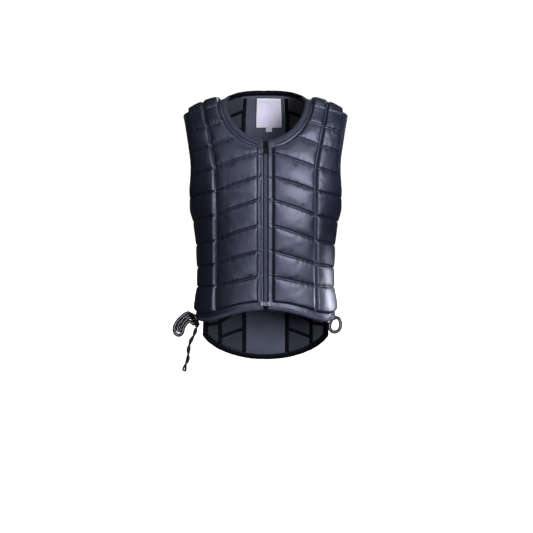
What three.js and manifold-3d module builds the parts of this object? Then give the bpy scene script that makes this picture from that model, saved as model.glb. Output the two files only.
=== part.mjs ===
// A padded riding vest: zip front, laced sides, and walls of foam blocks with grooves between them.
// Millimetres, +Z up, the front faces -Y and +X is the viewer's right. The origin is on the shoulder
// line, midway between the two neck points. Heights are given as drops below that line.

import * as THREE from 'three';
import { mergeVertices } from 'three/addons/utils/BufferGeometryUtils.js';
import Module from 'manifold-3d';

const wasm = await Module();
wasm.setup();

// Overall form
const front_length = 504;
const back_length = 616;
const chest_half_width = 188;
const shoulder_half_width = 206;
const front_depth = 112;
const back_depth = 106;
const squareness = 2.3;

// Shoulders, neck and armholes
const shoulder_tip = 186;
const shoulder_fall = 32;
const shoulder_roll = 95;
const tip_roll = 58;
const neck_point_drop = 3;
const neck_half_width = 96;
const neck_drop = 109;
const nape_rise = 13;
const nape_crest = 63;
const nape_roundness = 2.5;
const shoulder_corner_gap = 0.5;
const armhole_depth = 252;
const armhole_front_turn = 64;
const armhole_back_turn = 120;
const armhole_narrowest = 0.6;
const front_side_turn = 97;
const back_side_turn = 121;
const tail_half_width = 170;
const tail_height = 111;
const seam_gap = 0.6;

// Padding, measured inward from the top of the blocks
const pad_thickness = 15;
const band_depth = 8;
const band_thickness = 4.5;
const block_edge_depth = 1;
const lining_valley = 2.5;
const groove_half_width = 3;
const column_groove_half_width = 4.5;
const band_width = 9;
const block_wall = 4;
const shoulder_seam_width = 5;
const shoulder_foot_width = 2.5;
const spine_half_width = 53;

// Rolled edge binding
const piece_gap = 0.35;
const binding_width = 6;
const binding_half_thickness = 3.6;

// Zip
const zip_half_opening = 5.5;
const zip_placket = 10.5;
const chain_half_width = 4.2;
const chain_thickness = 2.4;
const chain_depth = 7.6;
const tape_thickness = 1;
const slider_width = 10;
const slider_length = 13;
const slider_post = 3.2;
const plate_thickness = 1.4;
const arch_width = 2.4;
const arch_length = 8.4;
const arch_height = 4.2;
const arch_thickness = 1.2;
const pull_width = 8;
const pull_length = 24;
const pull_thickness = 1.6;
const pull_window = 6;
const pull_pivot_height = 1.5;
const bottom_box_width = 10.2;
const bottom_box_length = 9;
const bottom_box_thickness = 6.5;
const bottom_box_depth = 5;

// Labels
const label_width = 60;
const label_height = 70;
const label_thickness = 0.8;
const label_offset = 8;
const label_drop = -2;
const label_clearance = 0.9;
const tab_width = 15;
const tab_height = 10;
const tab_gap = 0.4;

// Side lacing
const slot_count = 4;
const slot_length = 13;
const slot_width = 5.4;
const slot_inset = 11.6;
const lace_clearance = 1.3;
const strand_gap = 0.9;
const tape_end = 5;
const lacing_tape_width = 24;
const lacing_tape_overhang = 16.2;
const lacing_tape_thickness = 1.2;
const lacing_tape_depth = 4.1;
const first_slot_drop = 282;
const last_slot_drop = 470;
const lace_diameter = 3.6;
const lace_end_diameter = 7;
const knot_size = 15;

// The torso in sections from the shoulder line down. drop is a share of back_length, width of
// chest_half_width, front of front_depth and back of back_depth.
const torso_sections = [
  { drop: 0.000, width: 1.096, front: 0.70, back: 0.79 },
  { drop: 0.065, width: 1.080, front: 0.73, back: 0.85 },
  { drop: 0.150, width: 1.040, front: 0.78, back: 0.92 },
  { drop: 0.240, width: 1.000, front: 0.91, back: 1.00 },
  { drop: 0.350, width: 0.980, front: 1.00, back: 1.00 },
  { drop: 0.405, width: 0.936, front: 1.01, back: 0.98 },
  { drop: 0.490, width: 0.867, front: 1.01, back: 0.92 },
  { drop: 0.600, width: 0.839, front: 0.97, back: 0.83 },
  { drop: 0.700, width: 0.841, front: 0.95, back: 0.81 },
  { drop: 0.810, width: 0.888, front: 0.98, back: 0.87 },
  { drop: 1.000, width: 0.925, front: 1.00, back: 0.94 },
];

// The seam between the columns of blocks: drop is a share of front_length, across of chest_half_width.
const column_seam = [
  { drop: 0.00, across: 0.760 },
  { drop: 0.07, across: 0.734 },
  { drop: 0.15, across: 0.686 },
  { drop: 0.23, across: 0.644 },
  { drop: 0.33, across: 0.598 },
  { drop: 0.65, across: 0.596 },
  { drop: 1.00, across: 0.610 },
];

// The front hem: turn is a share of the way round to the side edge, drop a share of front_length.
const front_hem = [
  { turn: 0.00, drop: 0.935 },
  { turn: 0.15, drop: 0.946 },
  { turn: 0.34, drop: 0.972 },
  { turn: 0.45, drop: 0.988 },
  { turn: 0.62, drop: 1.000 },
  { turn: 0.86, drop: 0.994 },
  { turn: 1.00, drop: 0.986 },
];

// Rows across a front panel, top to bottom. seam is a drop on the column seam, as a share of
// front_length. The inner end lies on the neckline, as a share of neck_drop, or on the zip edge, as a
// share of its length. The outer end lies on the armhole, as a share of armhole_depth, or on the side
// edge, as a share of its length.
const front_rows = [
  { line: 'bend', seam: 0.036, neck: 0.100, armhole: 0.155 },
  { line: 'groove', seam: 0.070, neck: 0.225, armhole: 0.200 },
  { line: 'bend', seam: 0.105, neck: 0.375, armhole: 0.278 },
  { line: 'groove', seam: 0.147, neck: 0.546, armhole: 0.357 },
  { line: 'bend', seam: 0.188, neck: 0.706, armhole: 0.444 },
  { line: 'groove', seam: 0.231, neck: 0.849, armhole: 0.532 },
  { line: 'bend', seam: 0.273, neck: 1.000, armhole: 0.620 },
  { line: 'groove', seam: 0.328, zip: 0.059, armhole: 0.734 },
  { line: 'bend', seam: 0.379, zip: 0.133, armhole: 0.850 },
  { line: 'groove', seam: 0.430, zip: 0.204, armhole: 0.940 },
  { line: 'bend', seam: 0.446, zip: 0.225, armhole: 0.985 },
  { line: 'bend', seam: 0.460, zip: 0.245, armhole: 1.000 },
  { line: 'groove', seam: 0.538, zip: 0.344, side: 0.167 },
  { line: 'groove', seam: 0.649, zip: 0.500, side: 0.384 },
  { line: 'groove', seam: 0.754, zip: 0.659, side: 0.592 },
  { line: 'groove', seam: 0.851, zip: 0.816, side: 0.767 },
  { line: 'edge', seam: 0.947, zip: 0.950, side: 0.935 },
  { line: 'foot', seam: 0.955, zip: 0.961, side: 0.952 },
];

// Rows across the back panel, top to bottom. spine is a drop on the two seams beside the spine and seam
// one on the outer seams, both as shares of back_length; the outer end is as in front_rows. reach is
// the number of columns, counted from the spine pad outward, in which the row is cut as a groove.
const back_rows = [
  { line: 'bend', spine: 0.018, seam: 0.050, armhole: 0.190, reach: 2 },
  { line: 'groove', spine: 0.045, seam: 0.081, armhole: 0.250, reach: 2 },
  { line: 'bend', spine: 0.080, seam: 0.116, armhole: 0.340, reach: 2 },
  { line: 'groove', spine: 0.114, seam: 0.154, armhole: 0.430, reach: 2 },
  { line: 'groove', spine: 0.200, seam: 0.247, armhole: 0.660, reach: 2 },
  { line: 'groove', spine: 0.286, seam: 0.336, armhole: 0.880, reach: 2 },
  { line: 'bend', spine: 0.331, seam: 0.383, armhole: 1.000, reach: 2 },
  { line: 'groove', spine: 0.372, seam: 0.425, side: 0.090, reach: 2 },
  { line: 'groove', spine: 0.458, seam: 0.513, side: 0.275, reach: 2 },
  { line: 'groove', spine: 0.544, seam: 0.601, side: 0.455, reach: 2 },
  { line: 'groove', spine: 0.630, seam: 0.688, side: 0.635, reach: 2 },
  { line: 'groove', spine: 0.716, seam: 0.776, side: 0.800, reach: 2 },
  { line: 'groove', spine: 0.802, seam: 0.862, side: 0.920, reach: 2 },
  { line: 'groove', spine: 0.888, seam: 0.920, side: 0.955, reach: 1 },
  { line: 'edge', spine: 0.966, seam: 0.932, side: 0.972, reach: 2 },
  { line: 'foot', spine: 0.973, seam: 0.939, side: 0.985, reach: 2 },
];

// The share of the way to the next slot at which a lace leaves its tape, and the directions from a right
// knot to the ends of its two strands.
const lace_leaves = 0.36;
const strand_directions = [[-3, 7, 8], [-1, 2, 10]];

// Free lace ends. The points are chosen by hand, in millimetres in the vest's frame. A point beside a
// knot only gives the direction, and the cord ends at the knot's surface.
const left_knot_place = new THREE.Vector3(-161, 22, -531);
const right_knot_place = new THREE.Vector3(155, 30, -519);
const left_outer_bow = [
  [-165, 14, -525], [-172, 8, -508], [-178, 3, -499], [-194, 0, -508], [-207, -1, -522.5],
  [-212, -1, -535], [-211.5, -1, -545], [-206, -1, -552], [-199, -1, -552.5], [-193, 0, -547],
  [-191, 0, -536], [-185, 3, -526], [-177, 8, -519.5], [-168, 15, -529],
];
const left_inner_bow = [
  [-159, 14.5, -522.5], [-168, 14, -506], [-180, 9, -506.5], [-193, 5, -516], [-203, 4, -529],
  [-205.5, 4, -538], [-202, 4, -544.5], [-197.5, 4, -541.5], [-196, 4, -533], [-189, 6, -522],
  [-180, 10, -512.5], [-172, 15, -513], [-166.5, 18.5, -521],
];
const left_end = [
  [-163, 20, -539.5], [-167, 14, -553], [-175, 11, -568], [-179.5, 10, -584], [-180.6, 9, -598],
  [-182, 8, -611], [-188, 7, -626], [-190.5, 7, -638],
];
const right_bow = [
  [160, 21, -516], [166, 14, -512], [172, 8, -516], [174.5, 5, -527], [173, 5, -538],
  [166, 8, -545], [157, 15, -547], [150, 22, -540], [151, 26, -529],
];
const right_end = [
  [155, 39, -521], [155, 55, -528], [146, 75, -538], [132, 88, -549], [118, 95, -556],
];

// Finishes
const nylon = new THREE.MeshStandardMaterial({ name: 'nylon', color: 0x23283a, roughness: 0.42, metalness: 0 });
const binding_tape = new THREE.MeshStandardMaterial({ name: 'binding_tape', color: 0x1c202d, roughness: 0.7, metalness: 0 });
const zip_fabric = new THREE.MeshStandardMaterial({ name: 'zip_fabric', color: 0x2b3042, roughness: 0.75, metalness: 0 });
const black_metal = new THREE.MeshStandardMaterial({ name: 'black_metal', color: 0x101014, roughness: 0.35, metalness: 0.8 });
const silver_metal = new THREE.MeshStandardMaterial({ name: 'silver_metal', color: 0xa9aebb, roughness: 0.3, metalness: 0.9 });
const label_cloth = new THREE.MeshStandardMaterial({ name: 'label_cloth', color: 0xb4b2c7, roughness: 0.6, metalness: 0 });
const lace_cord = new THREE.MeshStandardMaterial({ name: 'lace_cord', color: 0x101014, roughness: 0.8, metalness: 0 });

const group = new THREE.Group();
const quarter = Math.PI / 2;
const nape_bends = [0.8, 0.95];
const small_step = 0.002;
const small_run = 0.5;
const steepest_slant = 0.42;
const sharpest_mitre = 0.62;

function radians(degrees) {
  return degrees * Math.PI / 180;
}

function signedPower(value, exponent) {
  return Math.sign(value) * Math.abs(value) ** exponent;
}

// A smooth curve through one column of a table, read at a value of its key column.
function readTable(table, key, column, at) {
  const last = table.length - 1;
  let i = 0;
  while (i < last - 1 && at > table[i + 1][key]) {
    i += 1;
  }
  const slope = (k) => {
    const before = table[Math.max(0, k - 1)];
    const after = table[Math.min(last, k + 1)];
    return (after[column] - before[column]) / (after[key] - before[key]);
  };
  const span = table[i + 1][key] - table[i][key];
  const t = THREE.MathUtils.clamp((at - table[i][key]) / span, 0, 1);
  const t2 = t * t;
  const t3 = t2 * t;
  return (2 * t3 - 3 * t2 + 1) * table[i][column] + (t3 - 2 * t2 + t) * span * slope(i)
    + (3 * t2 - 2 * t3) * table[i + 1][column] + (t3 - t2) * span * slope(i + 1);
}

function halfWidth(level) {
  return chest_half_width * readTable(torso_sections, 'drop', 'width', -level / back_length);
}

// The height of the shoulder line at a distance from the middle.
function shoulderCrest(across) {
  const along = Math.max(0, (across - neck_half_width) / (shoulder_tip - neck_half_width));
  return -neck_point_drop - shoulder_fall * along ** 1.7;
}

// The line that the surface rolls over: the shoulder, and behind the neck the rise to the nape.
function crest(across, behind) {
  const share = Math.min(1, across / neck_half_width);
  return shoulderCrest(across) + (behind ? nape_crest * (1 - share ** nape_roundness) : 0);
}

// The height over which the shoulder rounds, which is less towards the tip.
function rollHeight(turn) {
  return THREE.MathUtils.lerp(shoulder_roll, tip_roll, Math.sin(turn) ** 2);
}

// turn is the angle round the body from the centre front, in radians; run is the distance down the
// surface from the crest.
function surfacePoint(turn, run) {
  const behind = turn > quarter;
  const across = signedPower(Math.sin(turn), 2 / squareness);
  const away = signedPower(Math.cos(turn), 2 / squareness);
  const roll = Math.min(run / rollHeight(turn), quarter);
  const level = surfaceLevel(turn, run);
  const depth = behind
    ? back_depth * readTable(torso_sections, 'drop', 'back', -level / back_length)
    : front_depth * readTable(torso_sections, 'drop', 'front', -level / back_length);
  return new THREE.Vector3(halfWidth(level) * across, -away * depth * Math.sin(roll), level);
}

function surfaceLevel(turn, run) {
  const across = Math.abs(signedPower(Math.sin(turn), 2 / squareness));
  const top = crest(across * shoulder_half_width, turn > quarter);
  const height = rollHeight(turn);
  const roll = Math.min(run / height, quarter);
  return top - height * (1 - Math.cos(roll)) - Math.max(0, run - height * quarter);
}

function runAt(turn, level) {
  const across = Math.abs(signedPower(Math.sin(turn), 2 / squareness));
  const fall = Math.max(0, crest(across * shoulder_half_width, turn > quarter) - level);
  const height = rollHeight(turn);
  if (fall > height) {
    return height * quarter + fall - height;
  }
  return height * Math.acos(1 - fall / height);
}

function turnAt(across, level, behind) {
  const share = Math.min(1, across / halfWidth(level));
  const turn = Math.asin(share ** (squareness / 2));
  return behind ? Math.PI - turn : turn;
}

function outwardNormal(turn, run) {
  const round = surfacePoint(turn + small_step, run).sub(surfacePoint(turn - small_step, run));
  const down = surfacePoint(turn, run + small_run).sub(surfacePoint(turn, Math.max(0, run - small_run)));
  return round.cross(down).normalize().negate();
}

// A point at a depth below the block tops.
function shellPoint(turn, run, depth) {
  return surfacePoint(turn, run).addScaledVector(outwardNormal(turn, run), -depth);
}

function onLevel(turn, level) {
  return { turn, run: runAt(turn, level) };
}

// The zip edge below the neck, and the neckline above it: a quarter of an ellipse.
function frontInnerEdge(level) {
  const height = (-neck_point_drop - level) / (neck_drop - neck_point_drop);
  const neckline = neck_half_width * Math.sqrt(Math.max(0, 1 - height * height));
  return onLevel(turnAt(Math.max(zip_half_opening, neckline), level, false), level);
}

// The armhole, then the straight side edge, of the front or the back.
function outerEdge(level, behind) {
  const side = radians(behind ? back_side_turn : front_side_turn);
  const middle = radians(behind ? armhole_back_turn : armhole_front_turn);
  const tip = turnAt(shoulder_tip, shoulderCrest(shoulder_tip), behind);
  const share = THREE.MathUtils.clamp(-level / armhole_depth, 0, 1);
  const above = Math.min(1, share / armhole_narrowest);
  const below = Math.max(0, (share - armhole_narrowest) / (1 - armhole_narrowest));
  const turn = THREE.MathUtils.lerp(tip, middle, Math.sin(above * quarter));
  const round = 1 - Math.sqrt(Math.max(0, 1 - below * below));
  return onLevel(THREE.MathUtils.lerp(turn, side, round), level);
}

function seamPoint(level, behind) {
  const across = chest_half_width * readTable(column_seam, 'drop', 'across', -level / front_length);
  return onLevel(turnAt(across, level, behind), level);
}

function spinePoint(level) {
  return onLevel(turnAt(spine_half_width, level, true), level);
}

function spineCentre(level) {
  return onLevel(Math.PI, level);
}

// Moves a point of an edge down the surface by a distance, staying on that edge.
function shiftedAlong(edge, level, distance) {
  const point = edge(level);
  return edge(surfaceLevel(point.turn, point.run + distance));
}

function frontHemDrop(turn) {
  return front_length * readTable(front_hem, 'turn', 'drop', turn / radians(front_side_turn));
}

function backHemLevel(across) {
  const share = Math.min(1, across / tail_half_width);
  return -back_length + tail_height * (1 - Math.sqrt(1 - share * share));
}

function napeLevel(across) {
  const share = Math.min(1, across / neck_half_width);
  return -neck_point_drop + (nape_rise + neck_point_drop) * (1 - share ** 4);
}

// A point at a distance from the neckline of the back, away from the neck hole.
function besideNape(across, margin) {
  const here = onLevel(turnAt(across, napeLevel(across), true), napeLevel(across));
  const near = across - 1;
  const inner = onLevel(turnAt(near, napeLevel(near), true), napeLevel(near));
  const origin = surfacePoint(here.turn, here.run);
  const along = origin.clone().sub(surfacePoint(inner.turn, inner.run)).normalize();
  const away = outwardNormal(here.turn, here.run).cross(along).normalize();
  const by_turn = surfacePoint(here.turn + small_step, here.run).sub(origin).divideScalar(small_step);
  const by_run = surfacePoint(here.turn, here.run + small_run).sub(origin).divideScalar(small_run);
  const uu = by_turn.dot(by_turn);
  const uv = by_turn.dot(by_run);
  const vv = by_run.dot(by_run);
  const u = by_turn.dot(away) * margin;
  const v = by_run.dot(away) * margin;
  const scale = 1 / (uu * vv - uv * uv);
  return {
    turn: here.turn + (u * vv - v * uv) * scale,
    run: here.run + (v * uu - u * uv) * scale,
  };
}

// A point between two others: near the shoulder by its run, and lower down by its level.
function between(a, b, share) {
  const turn = THREE.MathUtils.lerp(a.turn, b.turn, share);
  const run = THREE.MathUtils.lerp(a.run, b.run, share);
  const level = THREE.MathUtils.lerp(surfaceLevel(a.turn, a.run), surfaceLevel(b.turn, b.run), share);
  const steepness = THREE.MathUtils.smoothstep(run / rollHeight(turn), 0, quarter);
  return { turn, run: THREE.MathUtils.lerp(run, runAt(turn, level), steepness) };
}

function distance(a, b) {
  return surfacePoint(a.turn, a.run).distanceTo(surfacePoint(b.turn, b.run));
}

// How much longer than its width a band is when a row crosses it at a slant.
function slant(rows, i, from, to) {
  const before = rows[Math.max(0, i - 1)].knots[from];
  const after = rows[Math.min(rows.length - 1, i + 1)].knots[from];
  const edge = surfacePoint(after.turn, after.run).sub(surfacePoint(before.turn, before.run)).normalize();
  const here = rows[i].knots[from];
  const there = rows[i].knots[to];
  const row = surfacePoint(there.turn, there.run).sub(surfacePoint(here.turn, here.run)).normalize();
  return 1 / Math.max(steepest_slant, edge.cross(row).length());
}

const line_depth = {
  rim: band_depth,
  foot: band_depth,
  edge: block_edge_depth,
  groove: band_depth,
  groove_edge: block_edge_depth,
  bend: 0,
};

// One row of a panel: its points between the knots, each with a depth and the names of its lines.
// A knot is an edge, a seam or the middle of the spine pad.
function rowCells(rows, i, knot_kinds, inside_lines) {
  const row = rows[i];
  const cells = [];
  const add = (place, line, column) => {
    const cut = column > row.reach || (column === 0 && knot_kinds[0] === 'centre') ? 'bend' : row.line;
    const across_depth = row.line === 'groove' || row.line === 'groove_edge' ? line_depth[cut] : line_depth[row.line];
    cells.push({ ...place, line, depth: Math.max(line_depth[line], across_depth) });
  };
  for (let k = 0; k + 1 < row.knots.length; k += 1) {
    const from = row.knots[k];
    const to = row.knots[k + 1];
    const length = distance(from, to);
    let start = 0;
    let end = 1;
    if (knot_kinds[k] === 'rim') {
      const stretch = slant(rows, i, k, k + 1) / length;
      add(from, 'rim', k);
      add(between(from, to, row.inner_band * stretch), 'foot', k);
      start = (row.inner_band + block_wall) * stretch;
      add(between(from, to, start), 'edge', k);
    } else if (knot_kinds[k] === 'centre') {
      add(from, 'bend', k);
    } else {
      add(from, 'groove', k);
      start = column_groove_half_width / length;
      add(between(from, to, start), 'groove_edge', k);
    }
    const outer_rim = knot_kinds[k + 1] === 'rim';
    const stretch = outer_rim ? slant(rows, i, k + 1, k) / length : 1 / length;
    end = outer_rim ? 1 - (band_width + block_wall) * stretch : 1 - column_groove_half_width * stretch;
    for (let n = 1; n <= inside_lines[k]; n += 1) {
      const share = n / (inside_lines[k] + 1);
      const own = row.inside !== undefined && k === 1 ? row.inside[n - 1] : null;
      add(own ?? between(from, to, THREE.MathUtils.lerp(start, end, share)), 'bend', k);
      cells[cells.length - 1].is_corner = own !== null && n === inside_lines[k];
    }
    if (outer_rim) {
      add(between(from, to, end), 'edge', k);
      add(between(from, to, 1 - band_width * stretch), 'foot', k);
      add(to, 'rim', k);
    } else {
      add(between(from, to, end), 'groove_edge', k);
    }
  }
  return cells;
}

// Each groove becomes three lines: its upper edge, its floor and its lower edge.
function expandRows(table, knotsAt) {
  return table.flatMap((row) => {
    if (row.line !== 'groove') {
      return [{ ...row, knots: knotsAt(row, 0) }];
    }
    return [-1, 0, 1].map((side) => ({
      ...row,
      line: side === 0 ? 'groove' : 'groove_edge',
      knots: knotsAt(row, side * groove_half_width),
    }));
  });
}

function frontPanelRows() {
  const hem_centre = -frontHemDrop(0);
  const hem_side = -frontHemDrop(radians(front_side_turn));
  const armhole = (level) => outerEdge(level, false);
  const seam = (level) => seamPoint(level, false);
  const knotsAt = (row, shift) => {
    const inner = row.neck !== undefined
      ? -row.neck * neck_drop
      : THREE.MathUtils.lerp(-neck_drop, hem_centre, row.zip);
    const outer = row.armhole !== undefined
      ? -row.armhole * armhole_depth
      : THREE.MathUtils.lerp(-armhole_depth, hem_side, row.side);
    return [
      shiftedAlong(frontInnerEdge, inner, shift),
      shiftedAlong(seam, -row.seam * front_length, shift),
      shiftedAlong(armhole, outer, shift),
    ];
  };
  const shoulder = (run) => [neck_half_width, column_seam[0].across * chest_half_width, shoulder_tip].map(
    (across) => ({ turn: turnAt(across, shoulderCrest(across), false), run }),
  );
  const onHem = (turn) => onLevel(turn, -frontHemDrop(turn));
  const hem_seam = seamPoint(-front_length, false).turn;
  const hem_end = radians(front_side_turn);
  const hem = [frontInnerEdge(hem_centre).turn, hem_seam, hem_end].map(onHem);
  const hem_inside = [1, 2].map((n) => onHem(THREE.MathUtils.lerp(hem_seam, hem_end, n / 3)));
  const rows = [
    { line: 'rim', knots: shoulder(seam_gap / 2) },
    { line: 'edge', knots: shoulder(shoulder_seam_width) },
    ...expandRows(front_rows, knotsAt),
    { line: 'rim', knots: hem, inside: hem_inside },
  ];
  return rows.map((row) => ({
    ...row,
    reach: 2,
    inner_band: row.zip !== undefined ? zip_placket : band_width,
  }));
}

function backPanelRows() {
  const side_edge = (level) => outerEdge(level, true);
  const hem_corner_level = backHemLevel(surfacePoint(radians(back_side_turn), runAt(radians(back_side_turn), -back_length * 0.9)).x);
  const seam = (level) => seamPoint(level, true);
  const knotsAt = (row, shift) => {
    const outer = row.armhole !== undefined
      ? -row.armhole * armhole_depth
      : THREE.MathUtils.lerp(-armhole_depth, hem_corner_level, row.side);
    return [
      shiftedAlong(spineCentre, -row.spine * back_length, shift),
      shiftedAlong(spinePoint, -row.spine * back_length, shift),
      shiftedAlong(seam, -row.seam * back_length, shift),
      shiftedAlong(side_edge, outer, shift),
    ];
  };
  const seam_top = column_seam[0].across * chest_half_width;
  const top = (margin, seam_margin) => {
    const neck = [0, spine_half_width].map((across) => {
      const level = napeLevel(across);
      const turn = turnAt(across, level, true);
      return { turn, run: runAt(turn, level) + margin };
    });
    const shoulder = [seam_top, shoulder_tip].map(
      (across) => ({ turn: turnAt(across, shoulderCrest(across), true), run: seam_margin }),
    );
    const corner = neck_half_width + shoulder_corner_gap + margin;
    return {
      knots: [...neck, ...shoulder],
      inside: [
        ...nape_bends.map((share) => besideNape(share * neck_half_width, margin)),
        { turn: turnAt(corner, shoulderCrest(corner), true), run: seam_margin },
      ],
    };
  };
  const hem_seam = seamPoint(-back_length * 0.94, true);
  const side = radians(back_side_turn);
  const hem_knots = [Math.PI, spinePoint(-back_length * 0.99).turn, hem_seam.turn, side].map((turn) => {
    const across = surfacePoint(turn, runAt(turn, -back_length * 0.95)).x;
    return onLevel(turn, backHemLevel(Math.abs(across)));
  });
  const rows = [
    { line: 'rim', ...top(0, seam_gap / 2) },
    { line: 'foot', ...top(band_width, shoulder_foot_width) },
    { line: 'edge', ...top(band_width + block_wall, shoulder_seam_width) },
    ...expandRows(back_rows, knotsAt),
    { line: 'rim', knots: hem_knots },
  ];
  return rows.map((row) => ({ reach: 2, ...row, inner_band: band_width }));
}

// Fills the strip between two lines of vertices that run the same way. Each vertex has an id and its
// place along the line.
function strip(first, second, faces) {
  let i = 0;
  let j = 0;
  while (i < first.length - 1 || j < second.length - 1) {
    const next_first = i < first.length - 1 ? first[i + 1].at : Infinity;
    const next_second = j < second.length - 1 ? second[j + 1].at : Infinity;
    if (next_first <= next_second) {
      faces.push([first[i].id, first[i + 1].id, second[j].id]);
      i += 1;
    } else {
      faces.push([first[i].id, second[j + 1].id, second[j].id]);
      j += 1;
    }
  }
}

function meshFromFaces(name, vertices, faces, material, mirrored = false) {
  const geometry = new THREE.BufferGeometry();
  const side = mirrored ? -1 : 1;
  const positions = vertices.flatMap((v) => [v.x * side, v.y, v.z]);
  const index = faces.flatMap(([a, b, c]) => (mirrored ? [a, c, b] : [a, b, c]));
  geometry.setAttribute('position', new THREE.Float32BufferAttribute(positions, 3));
  geometry.setIndex(index);
  geometry.computeVertexNormals();
  const mesh = new THREE.Mesh(geometry, material);
  mesh.name = name;
  return mesh;
}

// A padded panel as a closed body. The rows of cells run from top to bottom, and each row from left to
// right as seen from outside with right_handed, else the other way.
function paddedPanel(name, rows, lining_rows, lining_columns, liningDepth, mirrored, flipped) {
  const vertices = [];
  const faces = [];
  const add = (cell, depth) => {
    vertices.push(cell.side === -1
      ? mirrorPoint(shellPoint(cell.turn, cell.run, depth))
      : shellPoint(cell.turn, cell.run, depth));
    return vertices.length - 1;
  };
  const height = rows.length;
  const width = rows[0].length;
  const outer = rows.map((row) => row.map((cell) => add(cell, cell.depth)));
  const on_rim = (i, j) => i === 0 || j === 0 || i === height - 1 || j === width - 1;
  const rim = rows.map((row, i) => row.map((cell, j) => (
    on_rim(i, j) ? add(cell, band_depth + band_thickness) : -1)));
  const lining = lining_rows.map((i) => lining_columns.map((j) => add(rows[i][j], liningDepth(rows[i][j], i))));
  const is_left = (j) => rows[0][j].side === -1;
  const quad = (a, b, c, d, left) => (left
    ? faces.push([a, b, d], [b, c, d])
    : faces.push([a, b, c], [a, c, d]));
  for (let i = 0; i + 1 < height; i += 1) {
    for (let j = 0; j + 1 < width; j += 1) {
      quad(outer[i][j], outer[i + 1][j], outer[i + 1][j + 1], outer[i][j + 1], is_left(j));
    }
    quad(rim[i][0], rim[i + 1][0], outer[i + 1][0], outer[i][0], true);
    quad(outer[i][width - 1], outer[i + 1][width - 1], rim[i + 1][width - 1], rim[i][width - 1], false);
  }
  for (let j = 0; j + 1 < width; j += 1) {
    quad(outer[0][j], outer[0][j + 1], rim[0][j + 1], rim[0][j], is_left(j));
    quad(rim[height - 1][j], rim[height - 1][j + 1], outer[height - 1][j + 1], outer[height - 1][j], is_left(j));
  }
  for (let i = 0; i + 1 < lining.length; i += 1) {
    for (let j = 0; j + 1 < lining[0].length; j += 1) {
      quad(lining[i][j], lining[i][j + 1], lining[i + 1][j + 1], lining[i + 1][j], is_left(lining_columns[j]));
    }
  }
  const last_row = lining.length - 1;
  const last_column = lining[0].length - 1;
  const rimRow = (i) => rim[i].map((id, at) => ({ id, at }));
  const rimColumn = (j) => rim.map((row, at) => ({ id: row[j], at }));
  const liningRow = (i) => lining[i].map((id, j) => ({ id, at: lining_columns[j] }));
  const liningColumn = (j) => lining.map((row, i) => ({ id: row[j], at: lining_rows[i] }));
  strip(rimRow(0), liningRow(0), faces);
  strip(liningRow(last_row), rimRow(height - 1), faces);
  strip(liningColumn(0), rimColumn(0), faces);
  strip(rimColumn(width - 1), liningColumn(last_column), faces);
  const mesh = meshFromFaces(name, vertices, flipped ? faces.map(([a, b, c]) => [a, c, b]) : faces, nylon, mirrored);
  const rimPair = (i, j) => ({ top: vertices[outer[i][j]], bottom: vertices[rim[i][j]] });
  const corner_column = rows[0].findLastIndex((cell) => cell.is_corner);
  return { mesh, rimPair, height, width, corner_column };
}

function mirrorPoint(point) {
  return new THREE.Vector3(-point.x, point.y, point.z);
}

const front_knots = ['rim', 'seam', 'rim'];
const back_knots = ['centre', 'seam', 'seam', 'rim'];
const front_inside = [1, 2];
const back_inside = [0, 1 + nape_bends.length, 1];

// The lining of a front panel needs only a few of the rows and columns.
function frontPanel(name, mirrored) {
  const rows = frontPanelRows();
  const cells = rows.map((row, i) => rowCells(rows, i, front_knots, front_inside));
  const width = cells[0].length;
  const lining_columns = [2, 3, 5, 7, 8, width - 3].filter((j, k, all) => j < width && all.indexOf(j) === k);
  const lining_rows = rows.map((row, i) => i).filter((i) => (
    i === 1 || i === rows.length - 3 || (i > 1 && i < rows.length - 3 && ['groove', 'bend'].includes(rows[i].line))));
  return paddedPanel(name, cells, lining_rows, lining_columns, () => pad_thickness, mirrored, false);
}

// The back panel is one half's rows with the other half mirrored in front of them. Its lining has
// shallow valleys along the grooves.
function backPanel() {
  const rows = backPanelRows();
  const cells = rows.map((row, i) => {
    const half = rowCells(rows, i, back_knots, back_inside);
    const mirrored = half.slice(1).reverse().map((cell) => ({ ...cell, side: -1 }));
    return [...mirrored, ...half];
  });
  const width = cells[0].length;
  const wanted = ['edge', 'groove', 'bend', 'groove_edge'];
  const from_rim = (j) => Math.min(j, width - 1 - j);
  const lining_columns = cells[0].map((cell, j) => j).filter((j) => (
    from_rim(j) >= 2 && wanted.includes(cells[0][j].line)
    && (from_rim(j) > 6 || cells[0][j].line !== 'groove_edge')));
  const lining_rows = rows.map((row, i) => i).filter((i) => (
    i === 2 || i === rows.length - 3 || (i > 2 && i < rows.length - 3 && ['groove', 'bend'].includes(rows[i].line))));
  const valley = (cell) => pad_thickness - (cell.line === 'groove' ? lining_valley : 0);
  return paddedPanel('back_panel', cells, lining_rows, lining_columns, valley, false, true);
}

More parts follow.
